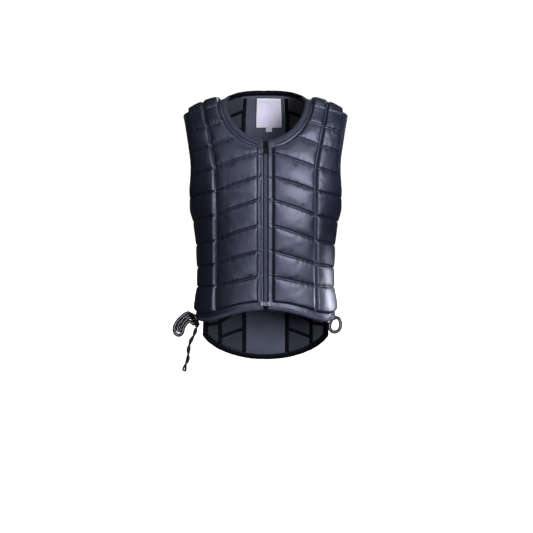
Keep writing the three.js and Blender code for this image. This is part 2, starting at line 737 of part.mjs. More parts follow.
// A rolled binding along a line of rim pairs. mitre_start and mitre_end hold the neighbour beyond an
// end, so that two bindings meet in a mitre. An end at the zip is cut upright with upright_ends.
function rolledBinding(name, pairs, outward_side, mitre_start, mitre_end, upright_ends = false) {
  const section = [
    [piece_gap, -binding_half_thickness],
    [piece_gap + 0.75 * binding_width, -0.95 * binding_half_thickness],
    [piece_gap + binding_width, 0],
    [piece_gap + 0.75 * binding_width, 0.95 * binding_half_thickness],
    [piece_gap, binding_half_thickness],
  ];
  const middles = pairs.map((pair) => pair.top.clone().lerp(pair.bottom, 0.5));
  const middleOf = (pair) => pair.top.clone().lerp(pair.bottom, 0.5);
  const before = mitre_start ? middleOf(mitre_start) : null;
  const after = mitre_end ? middleOf(mitre_end) : null;
  const vertices = [];
  middles.forEach((middle, i) => {
    const previous = i > 0 ? middles[i - 1] : before;
    const next = i < middles.length - 1 ? middles[i + 1] : after;
    const arriving = previous ? middle.clone().sub(previous).normalize() : null;
    const leaving = next ? next.clone().sub(middle).normalize() : null;
    const along = (arriving ?? leaving).clone().add(leaving ?? arriving).normalize();
    if (upright_ends && !(arriving && leaving)) {
      along.set(Math.sign(along.x), 0, 0);
    }
    const up = pairs[i].top.clone().sub(pairs[i].bottom).normalize();
    const out = along.clone().cross(up).normalize().multiplyScalar(outward_side);
    const bend = Math.max(sharpest_mitre, along.dot(arriving ?? leaving));
    const back_off = new THREE.Vector3();
    if (i === 0 && before) {
      back_off.addScaledVector(leaving, piece_gap / 2);
    }
    if (i === middles.length - 1 && after) {
      back_off.addScaledVector(arriving, -piece_gap / 2);
    }
    const true_up = out.clone().cross(along).multiplyScalar(outward_side);
    section.forEach(([reach, rise]) => {
      vertices.push(middle.clone().addScaledVector(out, reach / bend).addScaledVector(true_up, rise).add(back_off));
    });
  });
  const faces = [];
  const sides = section.length;
  for (let i = 0; i + 1 < middles.length; i += 1) {
    const on_left = middles[i].x + middles[i + 1].x < 0;
    for (let k = 0; k < sides; k += 1) {
      const n = (k + 1) % sides;
      const [a, b, c, d] = [i * sides + k, i * sides + n, (i + 1) * sides + n, (i + 1) * sides + k];
      faces.push(...(on_left ? [[a, b, d], [b, c, d]] : [[a, b, c], [a, c, d]]));
    }
  }
  for (let k = 1; k + 1 < sides; k += 1) {
    const end = (middles.length - 1) * sides;
    faces.push([0, k + 1, k], [end, end + k, end + k + 1]);
  }
  const turned = outward_side > 0 ? faces.map(([a, b, c]) => [a, c, b]) : faces;
  return meshFromFaces(name, vertices, turned, binding_tape);
}

function mirrorPairs(pairs) {
  return pairs.map((pair) => ({ top: mirrorPoint(pair.top), bottom: mirrorPoint(pair.bottom) }));
}

function joinPairs(first, second) {
  const a = first[first.length - 1];
  const b = second[0];
  const joined = { top: a.top.clone().lerp(b.top, 0.5), bottom: a.bottom.clone().lerp(b.bottom, 0.5) };
  return [...first.slice(0, -1), joined, ...second.slice(1)];
}

function count(length) {
  return Array.from({ length }, (unused, k) => k);
}

const front_right = frontPanel('front_panel_right', false);
const front_left = frontPanel('front_panel_left', true);
const back = backPanel();
group.add(front_right.mesh, front_left.mesh, back.mesh);

// The rows where the neckline and the armhole of a panel end.
function rowOf(rows, key) {
  return rows.findIndex((row) => row[key] === 1);
}

function addBindings() {
  const front_table = frontPanelRows();
  const back_table = backPanelRows();
  const neck_row = rowOf(front_table, 'neck');
  const front_armpit = rowOf(front_table, 'armhole');
  const back_armpit = rowOf(back_table, 'armhole');
  const last = front_right.width - 1;

  const neck_right = count(neck_row + 1).map((k) => front_right.rimPair(neck_row - k, 0));
  const nape = count(back.width).map((j) => back.rimPair(0, j));
  const corner_right = back.corner_column;
  const corner_left = back.width - 1 - corner_right;
  const nape_span = nape.slice(corner_left, corner_right + 1).reverse();
  const neckline = joinPairs(joinPairs(neck_right, nape_span), mirrorPairs(neck_right).reverse());
  group.add(rolledBinding('neck_binding', neckline, -1, undefined, undefined, true));

  const front_arm = count(front_armpit + 1).map((k) => front_right.rimPair(front_armpit - k, last));
  const back_arm = count(back_armpit + 1).map((i) => back.rimPair(i, back.width - 1));
  const armhole = joinPairs(front_arm, back_arm);
  const below_front = front_right.rimPair(front_armpit + 1, last);
  const below_back = back.rimPair(back_armpit + 1, back.width - 1);
  group.add(rolledBinding('armhole_binding_right', armhole, 1, below_front, below_back));
  const [left_front, left_back] = mirrorPairs([below_front, below_back]);
  group.add(rolledBinding('armhole_binding_left', mirrorPairs(armhole), -1, left_front, left_back));

  const side = count(front_right.height - front_armpit).map((k) => front_right.rimPair(front_armpit + k, last));
  const hem = count(front_right.width - 1).map((k) => front_right.rimPair(front_right.height - 1, last - 1 - k));
  const front_edge = [...side, ...hem];
  const above_front = front_right.rimPair(front_armpit - 1, last);
  group.add(rolledBinding('front_hem_binding_right', front_edge, -1, above_front));
  group.add(rolledBinding('front_hem_binding_left', mirrorPairs(front_edge), 1, mirrorPairs([above_front])[0]));

  const foot = back.height - 1;
  const right_side = count(foot - back_armpit).map((k) => back.rimPair(back_armpit + k, back.width - 1));
  const tail = count(back.width).map((k) => back.rimPair(foot, back.width - 1 - k));
  const left_side = mirrorPairs(right_side).reverse();
  const above_back = back.rimPair(back_armpit - 1, back.width - 1);
  const back_edge = [...right_side, ...tail, ...left_side];
  group.add(rolledBinding('back_hem_binding', back_edge, 1, above_back, mirrorPairs([above_back])[0]));
}

// Zip: everything is swept down the centre front, at a depth below the block tops.
function zipPoint(level, across, depth) {
  const run = runAt(0, level);
  return shellPoint(0, run, depth).add(new THREE.Vector3(across, 0, 0));
}

function zipLevels(top, bottom) {
  const steps = 9;
  return count(steps + 1).map((k) => THREE.MathUtils.lerp(top, bottom, k / steps));
}

function zipStrip(name, section, top, bottom, material) {
  const vertices = zipLevels(top, bottom).flatMap((level) => (
    section.map(([across, depth]) => zipPoint(level, across, depth))));
  const sides = section.length;
  const rows = vertices.length / sides;
  const faces = [];
  for (let i = 0; i + 1 < rows; i += 1) {
    for (let k = 0; k < sides; k += 1) {
      const n = (k + 1) % sides;
      faces.push(
        [i * sides + k, (i + 1) * sides + n, i * sides + n],
        [i * sides + k, (i + 1) * sides + k, (i + 1) * sides + n],
      );
    }
  }
  for (let k = 1; k + 1 < sides; k += 1) {
    const end = (rows - 1) * sides;
    faces.push([0, k, k + 1], [end, end + k + 1, end + k]);
  }
  group.add(meshFromFaces(name, vertices, faces, material));
}

// The frame of a hard zip piece: x across, y into the body and z up along the zip.
function zipFrame(level, depth) {
  const up = zipPoint(level + 1, 0, depth).sub(zipPoint(level - 1, 0, depth)).normalize();
  const across = new THREE.Vector3(1, 0, 0);
  const inward = up.clone().cross(across);
  const frame = new THREE.Matrix4().makeBasis(across, inward, up);
  return frame.setPosition(zipPoint(level, 0, depth));
}

function profileSolid(outline, holes, thickness) {
  const shape = new THREE.Shape(outline.map(([x, y]) => new THREE.Vector2(x, y)));
  holes.forEach((hole) => shape.holes.push(new THREE.Path(hole.map(([x, y]) => new THREE.Vector2(x, y)))));
  const geometry = new THREE.ExtrudeGeometry(shape, { depth: thickness, bevelEnabled: false });
  return geometry.translate(0, 0, -thickness / 2);
}

function toSolid(geometry) {
  const bare = geometry.clone();
  bare.deleteAttribute('normal');
  bare.deleteAttribute('uv');
  const merged = mergeVertices(bare, 1e-4);
  return new wasm.Manifold(new wasm.Mesh({
    numProp: 3,
    vertProperties: new Float32Array(merged.attributes.position.array),
    triVerts: new Uint32Array(merged.index.array),
  }));
}

function fromSolid(solid) {
  const data = solid.getMesh();
  const geometry = new THREE.BufferGeometry();
  geometry.setAttribute('position', new THREE.BufferAttribute(data.vertProperties, 3));
  geometry.setIndex(new THREE.BufferAttribute(data.triVerts, 1));
  return geometry;
}

function addMesh(name, geometry, material, frame) {
  const mesh = new THREE.Mesh(geometry, material);
  mesh.name = name;
  if (frame) {
    mesh.applyMatrix4(frame);
  }
  group.add(mesh);
}

function addZip() {
  const top = -neck_drop;
  const slider_top = top + 4;
  const bottom = -frontHemDrop(0) + 1;
  const box_top = bottom + bottom_box_length;
  const tape_top = chain_depth + chain_thickness + piece_gap;
  const tape_outer = zip_half_opening - piece_gap;
  const chain_bottom = box_top + piece_gap;
  [['zip_tape_right', 1], ['zip_tape_left', -1]].forEach(([name, side]) => {
    const near = side > 0 ? piece_gap / 2 : -tape_outer;
    const far = side > 0 ? tape_outer : -piece_gap / 2;
    const section = [[near, tape_top], [far, tape_top], [far, tape_top + tape_thickness], [near, tape_top + tape_thickness]];
    zipStrip(name, section, slider_top - slider_post - 1, chain_bottom, zip_fabric);
  });
  const chain = [
    [-chain_half_width, chain_depth + 0.8],
    [-chain_half_width + 1, chain_depth],
    [chain_half_width - 1, chain_depth],
    [chain_half_width, chain_depth + 0.8],
    [chain_half_width, chain_depth + chain_thickness],
    [-chain_half_width, chain_depth + chain_thickness],
  ];
  zipStrip('zip_chain', chain, slider_top - slider_post - 1, chain_bottom, zip_fabric);

  // Slider: two plates joined by a post at the upper end, with a bridge on the outer plate. Its own
  // frame has x across, y into the body from the outer plate's face and z up.
  const plate_face = chain_depth - piece_gap - plate_thickness;
  const inner_plate = tape_top + tape_thickness + piece_gap - plate_face;
  const slider_frame = zipFrame(slider_top - slider_length / 2, plate_face);
  const half = slider_length / 2;
  const channel = [
    [0, half], [inner_plate + plate_thickness, half], [inner_plate + plate_thickness, -half],
    [inner_plate, -half], [inner_plate, half - slider_post], [plate_thickness, half - slider_post],
    [plate_thickness, -half], [0, -half],
  ];
  const arch_half = arch_length / 2;
  const bridge = [
    [0.2, arch_half], [0.2, arch_half - arch_thickness], [-arch_height + arch_thickness, arch_half - arch_thickness],
    [-arch_height + arch_thickness, -arch_half + arch_thickness], [0.2, -arch_half + arch_thickness],
    [0.2, -arch_half], [-arch_height + 0.8, -arch_half], [-arch_height, -arch_half + 1],
    [-arch_height, arch_half - 1], [-arch_height + 0.8, arch_half],
  ];
  const upright = new THREE.Matrix4().makeBasis(
    new THREE.Vector3(0, 1, 0), new THREE.Vector3(0, 0, 1), new THREE.Vector3(1, 0, 0),
  );
  const plates = toSolid(profileSolid(channel, [], slider_width).applyMatrix4(upright));
  const staple = toSolid(profileSolid(bridge, [], arch_width).applyMatrix4(upright));
  addMesh('zip_slider', fromSolid(plates.add(staple)), black_metal, slider_frame);

  // Pull: a flat tag whose crossbar lies under the bridge. It turns about that crossbar.
  const bar = pull_thickness / 2;
  const inner = arch_width / 2 + 0.9;
  const tag = [
    [-pull_width / 2, bar], [-pull_width / 2, -pull_length + 2], [-pull_width / 2 + 2, -pull_length],
    [pull_width / 2 - 2, -pull_length], [pull_width / 2, -pull_length + 2], [pull_width / 2, bar],
  ];
  const window_hole = [[-inner, -bar], [inner, -bar], [inner, -pull_window], [-inner, -pull_window]];
  const flat = new THREE.Matrix4().makeBasis(
    new THREE.Vector3(1, 0, 0), new THREE.Vector3(0, 0, 1), new THREE.Vector3(0, -1, 0),
  );
  const pull = profileSolid(tag, [window_hole], pull_thickness).applyMatrix4(flat);
  pull.translate(0, -pull_pivot_height, 0);
  addMesh('zip_pull', pull, black_metal, slider_frame);

  const box = profileSolid(
    roundedBox(bottom_box_width, bottom_box_length, 1.5), [], bottom_box_thickness,
  ).applyMatrix4(flat);
  const box_frame = zipFrame(bottom + bottom_box_length / 2, bottom_box_depth + bottom_box_thickness / 2);
  addMesh('zip_bottom_box', box, silver_metal, box_frame);
}

function roundedBox(width, height, radius) {
  const x = width / 2;
  const y = height / 2;
  return [
    [-x, -y + radius], [-x + radius, -y], [x - radius, -y], [x, -y + radius],
    [x, y - radius], [x - radius, y], [-x + radius, y], [-x, y - radius],
  ];
}

// A thin body between an outer layer 0 and an inner layer 1, each a grid of points running down and
// across. isOpen tells which cells are left out.
function gridSheet(name, rows, columns, pointAt, isOpen, turned, material) {
  const vertices = [];
  for (let layer = 0; layer < 2; layer += 1) {
    for (let i = 0; i <= rows; i += 1) {
      for (let j = 0; j <= columns; j += 1) {
        vertices.push(pointAt(layer, i, j));
      }
    }
  }
  const id = (layer, i, j) => (layer * (rows + 1) + i) * (columns + 1) + j;
  const solid = (i, j) => i >= 0 && j >= 0 && i < rows && j < columns && !isOpen(i, j);
  const faces = [];
  const quad = (a, b, c, d) => faces.push([a, b, c], [a, c, d]);
  for (let i = 0; i < rows; i += 1) {
    for (let j = 0; j < columns; j += 1) {
      if (solid(i, j)) {
        quad(id(0, i, j), id(0, i, j + 1), id(0, i + 1, j + 1), id(0, i + 1, j));
        quad(id(1, i, j), id(1, i + 1, j), id(1, i + 1, j + 1), id(1, i, j + 1));
        if (!solid(i, j - 1)) {
          quad(id(0, i, j), id(0, i + 1, j), id(1, i + 1, j), id(1, i, j));
        }
        if (!solid(i, j + 1)) {
          quad(id(0, i, j + 1), id(1, i, j + 1), id(1, i + 1, j + 1), id(0, i + 1, j + 1));
        }
        if (!solid(i - 1, j)) {
          quad(id(0, i, j), id(1, i, j), id(1, i, j + 1), id(0, i, j + 1));
        }
        if (!solid(i + 1, j)) {
          quad(id(0, i + 1, j), id(0, i + 1, j + 1), id(1, i + 1, j + 1), id(1, i + 1, j));
        }
      }
    }
  }
  const turned_faces = turned ? faces.map(([a, b, c]) => [a, c, b]) : faces;
  group.add(meshFromFaces(name, vertices, turned_faces, material));
}

// A point beside the lining of the spine column, which is flat across from its middle to each groove.
function besideLining(across, level, clearance) {
  const middle = spineCentre(level);
  const seam = spinePoint(level);
  const flat_width = spine_half_width - column_groove_half_width;
  const side = between(middle, seam, 1 - column_groove_half_width / distance(middle, seam));
  const depth = pad_thickness + clearance;
  const point = shellPoint(middle.turn, middle.run, depth)
    .lerp(shellPoint(side.turn, side.run, depth), Math.abs(across) / flat_width);
  return across < 0 ? mirrorPoint(point) : point;
}

function liningSheet(name, centre, top, width, height, rows) {
  const columns = 4;
  const pointAt = (layer, i, j) => besideLining(
    centre + width * (j / columns - 0.5),
    top - height * i / rows,
    label_clearance + layer * label_thickness,
  );
  gridSheet(name, rows, columns, pointAt, () => false, false, label_cloth);
}

// Side lacing. A place is a distance past a side edge, away from its panel, and a level.
function sidePlace(behind, beyond, level, depth) {
  const edge = radians(behind ? back_side_turn : front_side_turn);
  const run = runAt(edge, level);
  const speed = surfacePoint(edge + small_step, run).distanceTo(surfacePoint(edge - small_step, run)) / (2 * small_step);
  const turn = edge + (behind ? -1 : 1) * beyond / speed;
  return shellPoint(turn, runAt(turn, level), depth);
}

function slotLevel(k) {
  return -THREE.MathUtils.lerp(first_slot_drop, last_slot_drop, k / (slot_count - 1));
}

// A tape with a row of slots, laid over a side edge.
function lacingTape(name, behind, mirrored) {
  const half_slot = slot_length / 2;
  const levels = [slotLevel(0) + half_slot + tape_end];
  count(slot_count).forEach((k) => {
    levels.push(slotLevel(k) + half_slot, slotLevel(k) - half_slot);
    if (k < slot_count - 1) {
      levels.push((slotLevel(k) + slotLevel(k + 1)) / 2);
    }
  });
  levels.push(slotLevel(slot_count - 1) - half_slot - tape_end);
  const places = [
    lacing_tape_overhang - lacing_tape_width,
    slot_inset - slot_width / 2,
    slot_inset + slot_width / 2,
    lacing_tape_overhang,
  ];
  const pointAt = (layer, i, j) => {
    const point = sidePlace(behind, places[j], levels[i], lacing_tape_depth + layer * lacing_tape_thickness);
    return mirrored ? mirrorPoint(point) : point;
  };
  const isOpen = (i, j) => j === 1 && i % 3 === 1;
  gridSheet(name, levels.length - 1, places.length - 1, pointAt, isOpen, behind === mirrored, binding_tape);
}

// A round cord along chosen points, closed at both ends. steps is the number of rings to each span.
function cordTube(name, points, diameter, sides, steps) {
  const path = new THREE.CatmullRomCurve3(points, false, 'centripetal');
  const places = path.getPoints(steps * (points.length - 1));
  const last = places.length - 1;
  const across = new THREE.Vector3(0.31, 0.95, 0.05).normalize();
  const vertices = places.flatMap((place, i) => {
    const along = places[Math.min(last, i + 1)].clone().sub(places[Math.max(0, i - 1)]).normalize();
    across.addScaledVector(along, -across.dot(along)).normalize();
    const aside = along.clone().cross(across);
    return count(sides).map((k) => {
      const angle = 2 * Math.PI * k / sides;
      return place.clone()
        .addScaledVector(across, Math.cos(angle) * diameter / 2)
        .addScaledVector(aside, Math.sin(angle) * diameter / 2);
    });
  });
  const faces = [];
  for (let i = 0; i < last; i += 1) {
    for (let k = 0; k < sides; k += 1) {
      const n = (k + 1) % sides;
      faces.push([i * sides + k, i * sides + n, (i + 1) * sides + n]);
      faces.push([i * sides + k, (i + 1) * sides + n, (i + 1) * sides + k]);
    }
  }
  for (let k = 1; k + 1 < sides; k += 1) {
    faces.push([0, k + 1, k], [last * sides, last * sides + k, last * sides + k + 1]);
  }
  group.add(meshFromFaces(name, vertices, faces, lace_cord));
}

// One strand: down from slot to slot on alternate sides, each time under the tape and out of the slot.
// crossing is where it passes the other strand between the tapes.
function strandPoints(starts_behind, crossing) {
  const points = [];
  const over = lacing_tape_depth - lace_diameter / 2 - lace_clearance;
  const under = lacing_tape_depth + lacing_tape_thickness + lace_diameter / 2 + lace_clearance;
  const centre = lacing_tape_depth + lacing_tape_thickness / 2;
  const reach = 0.85 * slot_length / 2;
  const edge = lacing_tape_overhang;
  count(slot_count).forEach((k) => {
    const behind = starts_behind === (k % 2 === 0);
    const level = slotLevel(k);
    points.push(sidePlace(behind, slot_inset, level + reach, under));
    points.push(sidePlace(behind, slot_inset, level, centre));
    points.push(sidePlace(behind, slot_inset, level - reach, over));
    if (k < slot_count - 1) {
      const next = slotLevel(k + 1);
      const here = sidePlace(behind, edge, level, crossing);
      const there = sidePlace(!behind, edge, next, crossing);
      points.push(sidePlace(behind, edge, THREE.MathUtils.lerp(level, next, lace_leaves), over));
      points.push(here.lerp(there, 0.5));
      points.push(sidePlace(!behind, edge, THREE.MathUtils.lerp(level, next, 1 - lace_leaves), under));
    } else {
      points.push(sidePlace(behind, slot_inset, level - slot_length / 2 - tape_end - lace_diameter / 2, over));
    }
  });
  return points;
}

function sideLace(name, mirrored, knot) {
  const centre_depth = lacing_tape_depth + lacing_tape_thickness / 2;
  const apart = (lace_diameter + strand_gap) / 2;
  const first = strandPoints(false, centre_depth - apart);
  const second = strandPoints(true, centre_depth + apart);
  const path = [...first.reverse(), ...second];
  const points = mirrored ? path.map(mirrorPoint) : path;
  const [first_end, second_end] = strand_directions.map(([x, y, z]) => {
    const toward = knot.position.clone().add(new THREE.Vector3(mirrored ? -x : x, y, z));
    return besideKnot(knot, toward, lace_diameter);
  });
  cordTube(name, [...first_end, ...points, ...second_end.reverse()], lace_diameter, 6, 1);
}

function addKnot(name, place) {
  const mesh = new THREE.Mesh(new THREE.IcosahedronGeometry(knot_size / 2, 1), lace_cord);
  mesh.name = name;
  mesh.position.copy(place);
  mesh.updateMatrixWorld();
  group.add(mesh);
  return mesh;
}

// The straight start of a cord that leaves a knot towards a point, just clear of the knot's surface.
function besideKnot(knot, toward, diameter) {
  const direction = toward.clone().sub(knot.position).normalize();
  const across = new THREE.Vector3(1, 0, 0).cross(direction).normalize();
  const aside = direction.clone().cross(across);
  const caster = new THREE.Raycaster();
  const heights = count(9).map((k) => {
    const radius = k === 8 ? 0 : diameter / 2;
    const start = knot.position.clone()
      .addScaledVector(direction, knot_size)
      .addScaledVector(across, radius * Math.cos(k * Math.PI / 4))
      .addScaledVector(aside, radius * Math.sin(k * Math.PI / 4));
    caster.set(start, direction.clone().negate());
    return knot_size - caster.intersectObject(knot)[0].distance;
  });
  const start = knot.position.clone().addScaledVector(direction, Math.max(...heights) + piece_gap);
  return [start, start.clone().addScaledVector(direction, diameter / 2)];
}

// A cord whose first point, and last point where it comes back, lie beside a knot.
function knotCord(name, knot, chosen, diameter, comes_back, steps) {
  const points = chosen.map(([x, y, z]) => new THREE.Vector3(x, y, z));
  points.unshift(...besideKnot(knot, points.shift(), diameter));
  if (comes_back) {
    points.push(...besideKnot(knot, points.pop(), diameter).reverse());
  }
  cordTube(name, points, diameter, 8, steps);
}

function addLacing() {
  lacingTape('lacing_tape_front_right', false, false);
  lacingTape('lacing_tape_back_right', true, false);
  lacingTape('lacing_tape_front_left', false, true);
  lacingTape('lacing_tape_back_left', true, true);
  const right_knot = addKnot('lace_knot_right', right_knot_place);
  const left_knot = addKnot('lace_knot_left', left_knot_place);
  sideLace('side_lace_right', false, right_knot);
  sideLace('side_lace_left', true, left_knot);
  knotCord('lace_bow_left_outer', left_knot, left_outer_bow, lace_diameter, true, 2);
  knotCord('lace_bow_left_inner', left_knot, left_inner_bow, lace_diameter, true, 2);
  knotCord('lace_end_left', left_knot, left_end, lace_end_diameter, false, 1);
  knotCord('lace_bow_right', right_knot, right_bow, lace_diameter, true, 2);
  knotCord('lace_end_right', right_knot, right_end, lace_diameter, false, 2);
}

addBindings();
addZip();
liningSheet('neck_label', label_offset, -label_drop, label_width, label_height, 4);
liningSheet('size_tab', label_offset, -label_drop - label_height - tab_gap, tab_width, tab_height, 1);
addLacing();

export default group;
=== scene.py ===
"""A padded riding vest: foam blocks under satin nylon, a front zip, rolled bindings and laced sides.

Sizes in the shape functions are millimetres in the vest's frame, +Z up and the front towards -Y.
Everything that becomes a Blender object is turned to metres."""

import math

import bpy
import numpy as np
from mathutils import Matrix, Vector
from mathutils.kdtree import KDTree


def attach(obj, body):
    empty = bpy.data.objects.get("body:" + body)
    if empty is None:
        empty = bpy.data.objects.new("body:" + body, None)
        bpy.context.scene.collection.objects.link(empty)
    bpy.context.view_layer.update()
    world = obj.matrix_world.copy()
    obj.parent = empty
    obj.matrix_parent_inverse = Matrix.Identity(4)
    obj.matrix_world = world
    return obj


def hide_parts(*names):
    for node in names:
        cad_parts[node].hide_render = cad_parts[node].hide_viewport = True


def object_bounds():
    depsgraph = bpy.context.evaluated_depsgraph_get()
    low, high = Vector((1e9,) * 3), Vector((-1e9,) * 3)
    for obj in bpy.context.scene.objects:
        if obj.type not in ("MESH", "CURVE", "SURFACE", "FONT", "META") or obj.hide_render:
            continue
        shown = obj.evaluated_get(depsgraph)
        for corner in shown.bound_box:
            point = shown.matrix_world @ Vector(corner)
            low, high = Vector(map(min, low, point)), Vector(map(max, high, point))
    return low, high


bl_info = {
    "name": "Padded riding vest",
    "version": (1, 0, 0),
    "blender": (4, 5, 0),
    "location": "View3D > Sidebar > Vest",
    "description": "Builds the cloth, bindings, zip, label and laces of a padded riding vest",
    "category": "Add Mesh",
}

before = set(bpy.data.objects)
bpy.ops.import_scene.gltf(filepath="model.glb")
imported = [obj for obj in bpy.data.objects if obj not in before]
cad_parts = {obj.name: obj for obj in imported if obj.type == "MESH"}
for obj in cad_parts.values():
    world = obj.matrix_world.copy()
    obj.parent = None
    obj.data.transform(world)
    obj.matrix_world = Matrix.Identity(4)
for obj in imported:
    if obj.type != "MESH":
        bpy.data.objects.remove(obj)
CAD_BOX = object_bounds()

# Overall form
FRONT_LENGTH = 504
BACK_LENGTH = 616
CHEST_HALF_WIDTH = 188
SHOULDER_HALF_WIDTH = 206
FRONT_DEPTH = 112
BACK_DEPTH = 106
SQUARENESS = 2.3

# Shoulders, neck and armholes
SHOULDER_TIP = 186
SHOULDER_FALL = 32
SHOULDER_ROLL = 95
TIP_ROLL = 58
NECK_POINT_DROP = 3
NECK_HALF_WIDTH = 96
NECK_DROP = 109
NAPE_RISE = 13
NAPE_CREST = 63
NAPE_ROUNDNESS = 2.5
ARMHOLE_DEPTH = 252
ARMHOLE_FRONT_TURN = math.radians(64)
ARMHOLE_BACK_TURN = math.radians(120)
ARMHOLE_NARROWEST = 0.6
FRONT_SIDE_TURN = math.radians(97)
BACK_SIDE_TURN = math.radians(121)
TAIL_HALF_WIDTH = 170
TAIL_HEIGHT = 111
SEAM_RUN = 0.3

# Padding, measured inward from the top of the blocks
PAD_THICKNESS = 15
BAND_DEPTH = 8
BAND_THICKNESS = 4.5
BAND_WIDTH = 9
ZIP_HALF_OPENING = 5.5
ZIP_PLACKET = 10.5
SPINE_HALF_WIDTH = 53
COLUMN_HALF = 2.0
ROW_HALF = 0.5
ROW_DEPTH = 5.2
LINING_VALLEY = 2.5
OUTER_BAND_RISE = 2.2
PLACKET_RISE = 2.4
ZIP_FOLD = 0.8
NECK_RIDGE = 1.5
NECK_RIDGE_INSET = 8.6
TUCK_HEIGHT = 1.7

# A turn of one radian is this many millimetres of cloth, in the cloth's own coordinates.
CLOTH_PER_RADIAN = 165

# A wave texture at scale 1 repeats at this distance.
WAVE_REPEAT = 0.314

# Zip
CHAIN_DEPTH = 7.6
TAPE_DEPTH = 10.35

# Side lacing
SLOT_COUNT = 4
SLOT_LENGTH = 13
SLOT_WIDTH = 5.4
SLOT_INSET = 11.6
LACE_CLEARANCE = 1.3
STRAND_GAP = 0.9
LACING_TAPE_WIDTH = 24
LACING_TAPE_OVERHANG = 16.2
LACING_TAPE_THICKNESS = 1.2
LACING_TAPE_DEPTH = 4.1
FIRST_SLOT_DROP = 282
LAST_SLOT_DROP = 470
LACE_LEAVES = 0.36
LACE = 3.6
KNOT_SIZE = 15

# The torso in sections: share of the back length, and the width, front and back shares there.
TORSO_DROP = [0.0, 0.065, 0.15, 0.24, 0.35, 0.405, 0.49, 0.6, 0.7, 0.81, 1.0]
TORSO_WIDTH = [1.096, 1.08, 1.04, 1.0, 0.98, 0.936, 0.867, 0.839, 0.841, 0.888, 0.925]
TORSO_FRONT = [0.7, 0.73, 0.78, 0.91, 1.0, 1.01, 1.01, 0.97, 0.95, 0.98, 1.0]
TORSO_BACK = [0.79, 0.85, 0.92, 1.0, 1.0, 0.98, 0.92, 0.83, 0.81, 0.87, 0.94]
SEAM_DROP = [0.0, 0.07, 0.15, 0.23, 0.33, 0.65, 1.0]
SEAM_ACROSS = [0.76, 0.734, 0.686, 0.644, 0.598, 0.596, 0.61]
HEM_TURN = [0.0, 0.15, 0.34, 0.45, 0.62, 0.86, 1.0]
HEM_DROP = [0.935, 0.946, 0.972, 0.988, 1.0, 0.994, 0.986]

# Rows of a front panel from the shoulder down: whether it is a groove, its drop on the column seam,
# and its inner and outer ends, on the neckline (n), zip edge (z), armhole (a) or side edge (s).
FRONT_ROWS = [
    (False, 0.036, "n", 0.100, "a", 0.155), (True, 0.070, "n", 0.225, "a", 0.200),
    (False, 0.105, "n", 0.375, "a", 0.278), (True, 0.147, "n", 0.546, "a", 0.357),
    (False, 0.188, "n", 0.706, "a", 0.444), (True, 0.231, "n", 0.849, "a", 0.532),
    (False, 0.273, "n", 1.000, "a", 0.620), (True, 0.328, "z", 0.059, "a", 0.734),
    (False, 0.379, "z", 0.133, "a", 0.850), (True, 0.430, "z", 0.204, "a", 0.940),
    (False, 0.446, "z", 0.225, "a", 0.985), (False, 0.460, "z", 0.245, "a", 1.000),
    (True, 0.538, "z", 0.344, "s", 0.167), (True, 0.649, "z", 0.500, "s", 0.384),
    (True, 0.754, "z", 0.659, "s", 0.592), (True, 0.851, "z", 0.816, "s", 0.767),
    (False, 0.947, "z", 0.950, "s", 0.935), (False, 0.955, "z", 0.961, "s", 0.952),
]

# Rows of the back panel: the number of columns in which it is a groove, its drops beside the spine
# and on the outer seam, and its outer end.
BACK_ROWS = [
    (0, 0.018, 0.050, "a", 0.190), (2, 0.045, 0.081, "a", 0.250), (0, 0.080, 0.116, "a", 0.340),
    (2, 0.114, 0.154, "a", 0.430), (2, 0.200, 0.247, "a", 0.660), (2, 0.286, 0.336, "a", 0.880),
    (0, 0.331, 0.383, "a", 1.000), (2, 0.372, 0.425, "s", 0.090), (2, 0.458, 0.513, "s", 0.275),
    (2, 0.544, 0.601, "s", 0.455), (2, 0.630, 0.688, "s", 0.635), (2, 0.716, 0.776, "s", 0.800),
    (2, 0.802, 0.862, "s", 0.920), (1, 0.888, 0.920, "s", 0.955), (0, 0.966, 0.932, "s", 0.972),
]

# Free lace ends, chosen one by one. A first or last point beside a knot only gives the direction.
LEFT_KNOT = (-161, 22, -531)
RIGHT_KNOT = (155, 30, -519)
LEFT_OUTER_BOW = [
    (-163.8, 16.3, -526.8), (-164.5, 15.0, -525.8), (-172, 8, -508), (-178, 3, -499), (-194, 0, -508),
    (-207, -1, -522.5), (-212, -1, -535), (-211.5, -1, -545), (-206, -1, -552), (-199, -1, -552.5),
    (-193, 0, -547), (-191, 0, -536), (-185, 3, -526), (-177, 8, -519.5), (-167.5, 15.5, -529.1),
    (-166.2, 16.8, -529.5),
]
LEFT_INNER_BOW = [
    (-159.7, 17.0, -525.4), (-159.4, 15.9, -524.0), (-168, 14, -506), (-180, 9, -506.5), (-193, 5, -516),
    (-203, 4, -529), (-205.5, 4, -538), (-202, 4, -544.5), (-197.5, 4, -541.5), (-196, 4, -533),
    (-189, 6, -522), (-180, 10, -512.5), (-172, 15, -513), (-165.4, 19.2, -523.0), (-164.6, 19.7, -524.5),
]
LEFT_END = [
    (-162.7, 20.3, -538.1), (-163.4, 19.6, -541.4), (-167, 14, -553), (-175, 11, -568),
    (-179.5, 10, -584), (-180.6, 9, -598), (-182, 8, -611), (-188, 7, -626), (-190.5, 7, -638),
]
RIGHT_BOW = [
    (158.5, 23.7, -516.9), (159.3, 22.2, -516.4), (166, 14, -512), (172, 8, -516), (174.5, 5, -527),
    (173, 5, -538), (166, 8, -545), (157, 15, -547), (150, 22, -540), (151.7, 26.7, -527.1),
    (152.4, 27.4, -525.6),
]
RIGHT_END = [
    (155.0, 37.4, -520.6), (155.0, 39.1, -521.0), (155, 55, -528), (146, 75, -538), (132, 88, -549),
    (118, 95, -556),
]
STRAND_ENDS = ((-3, 7, 8), (-1, 2, 10))
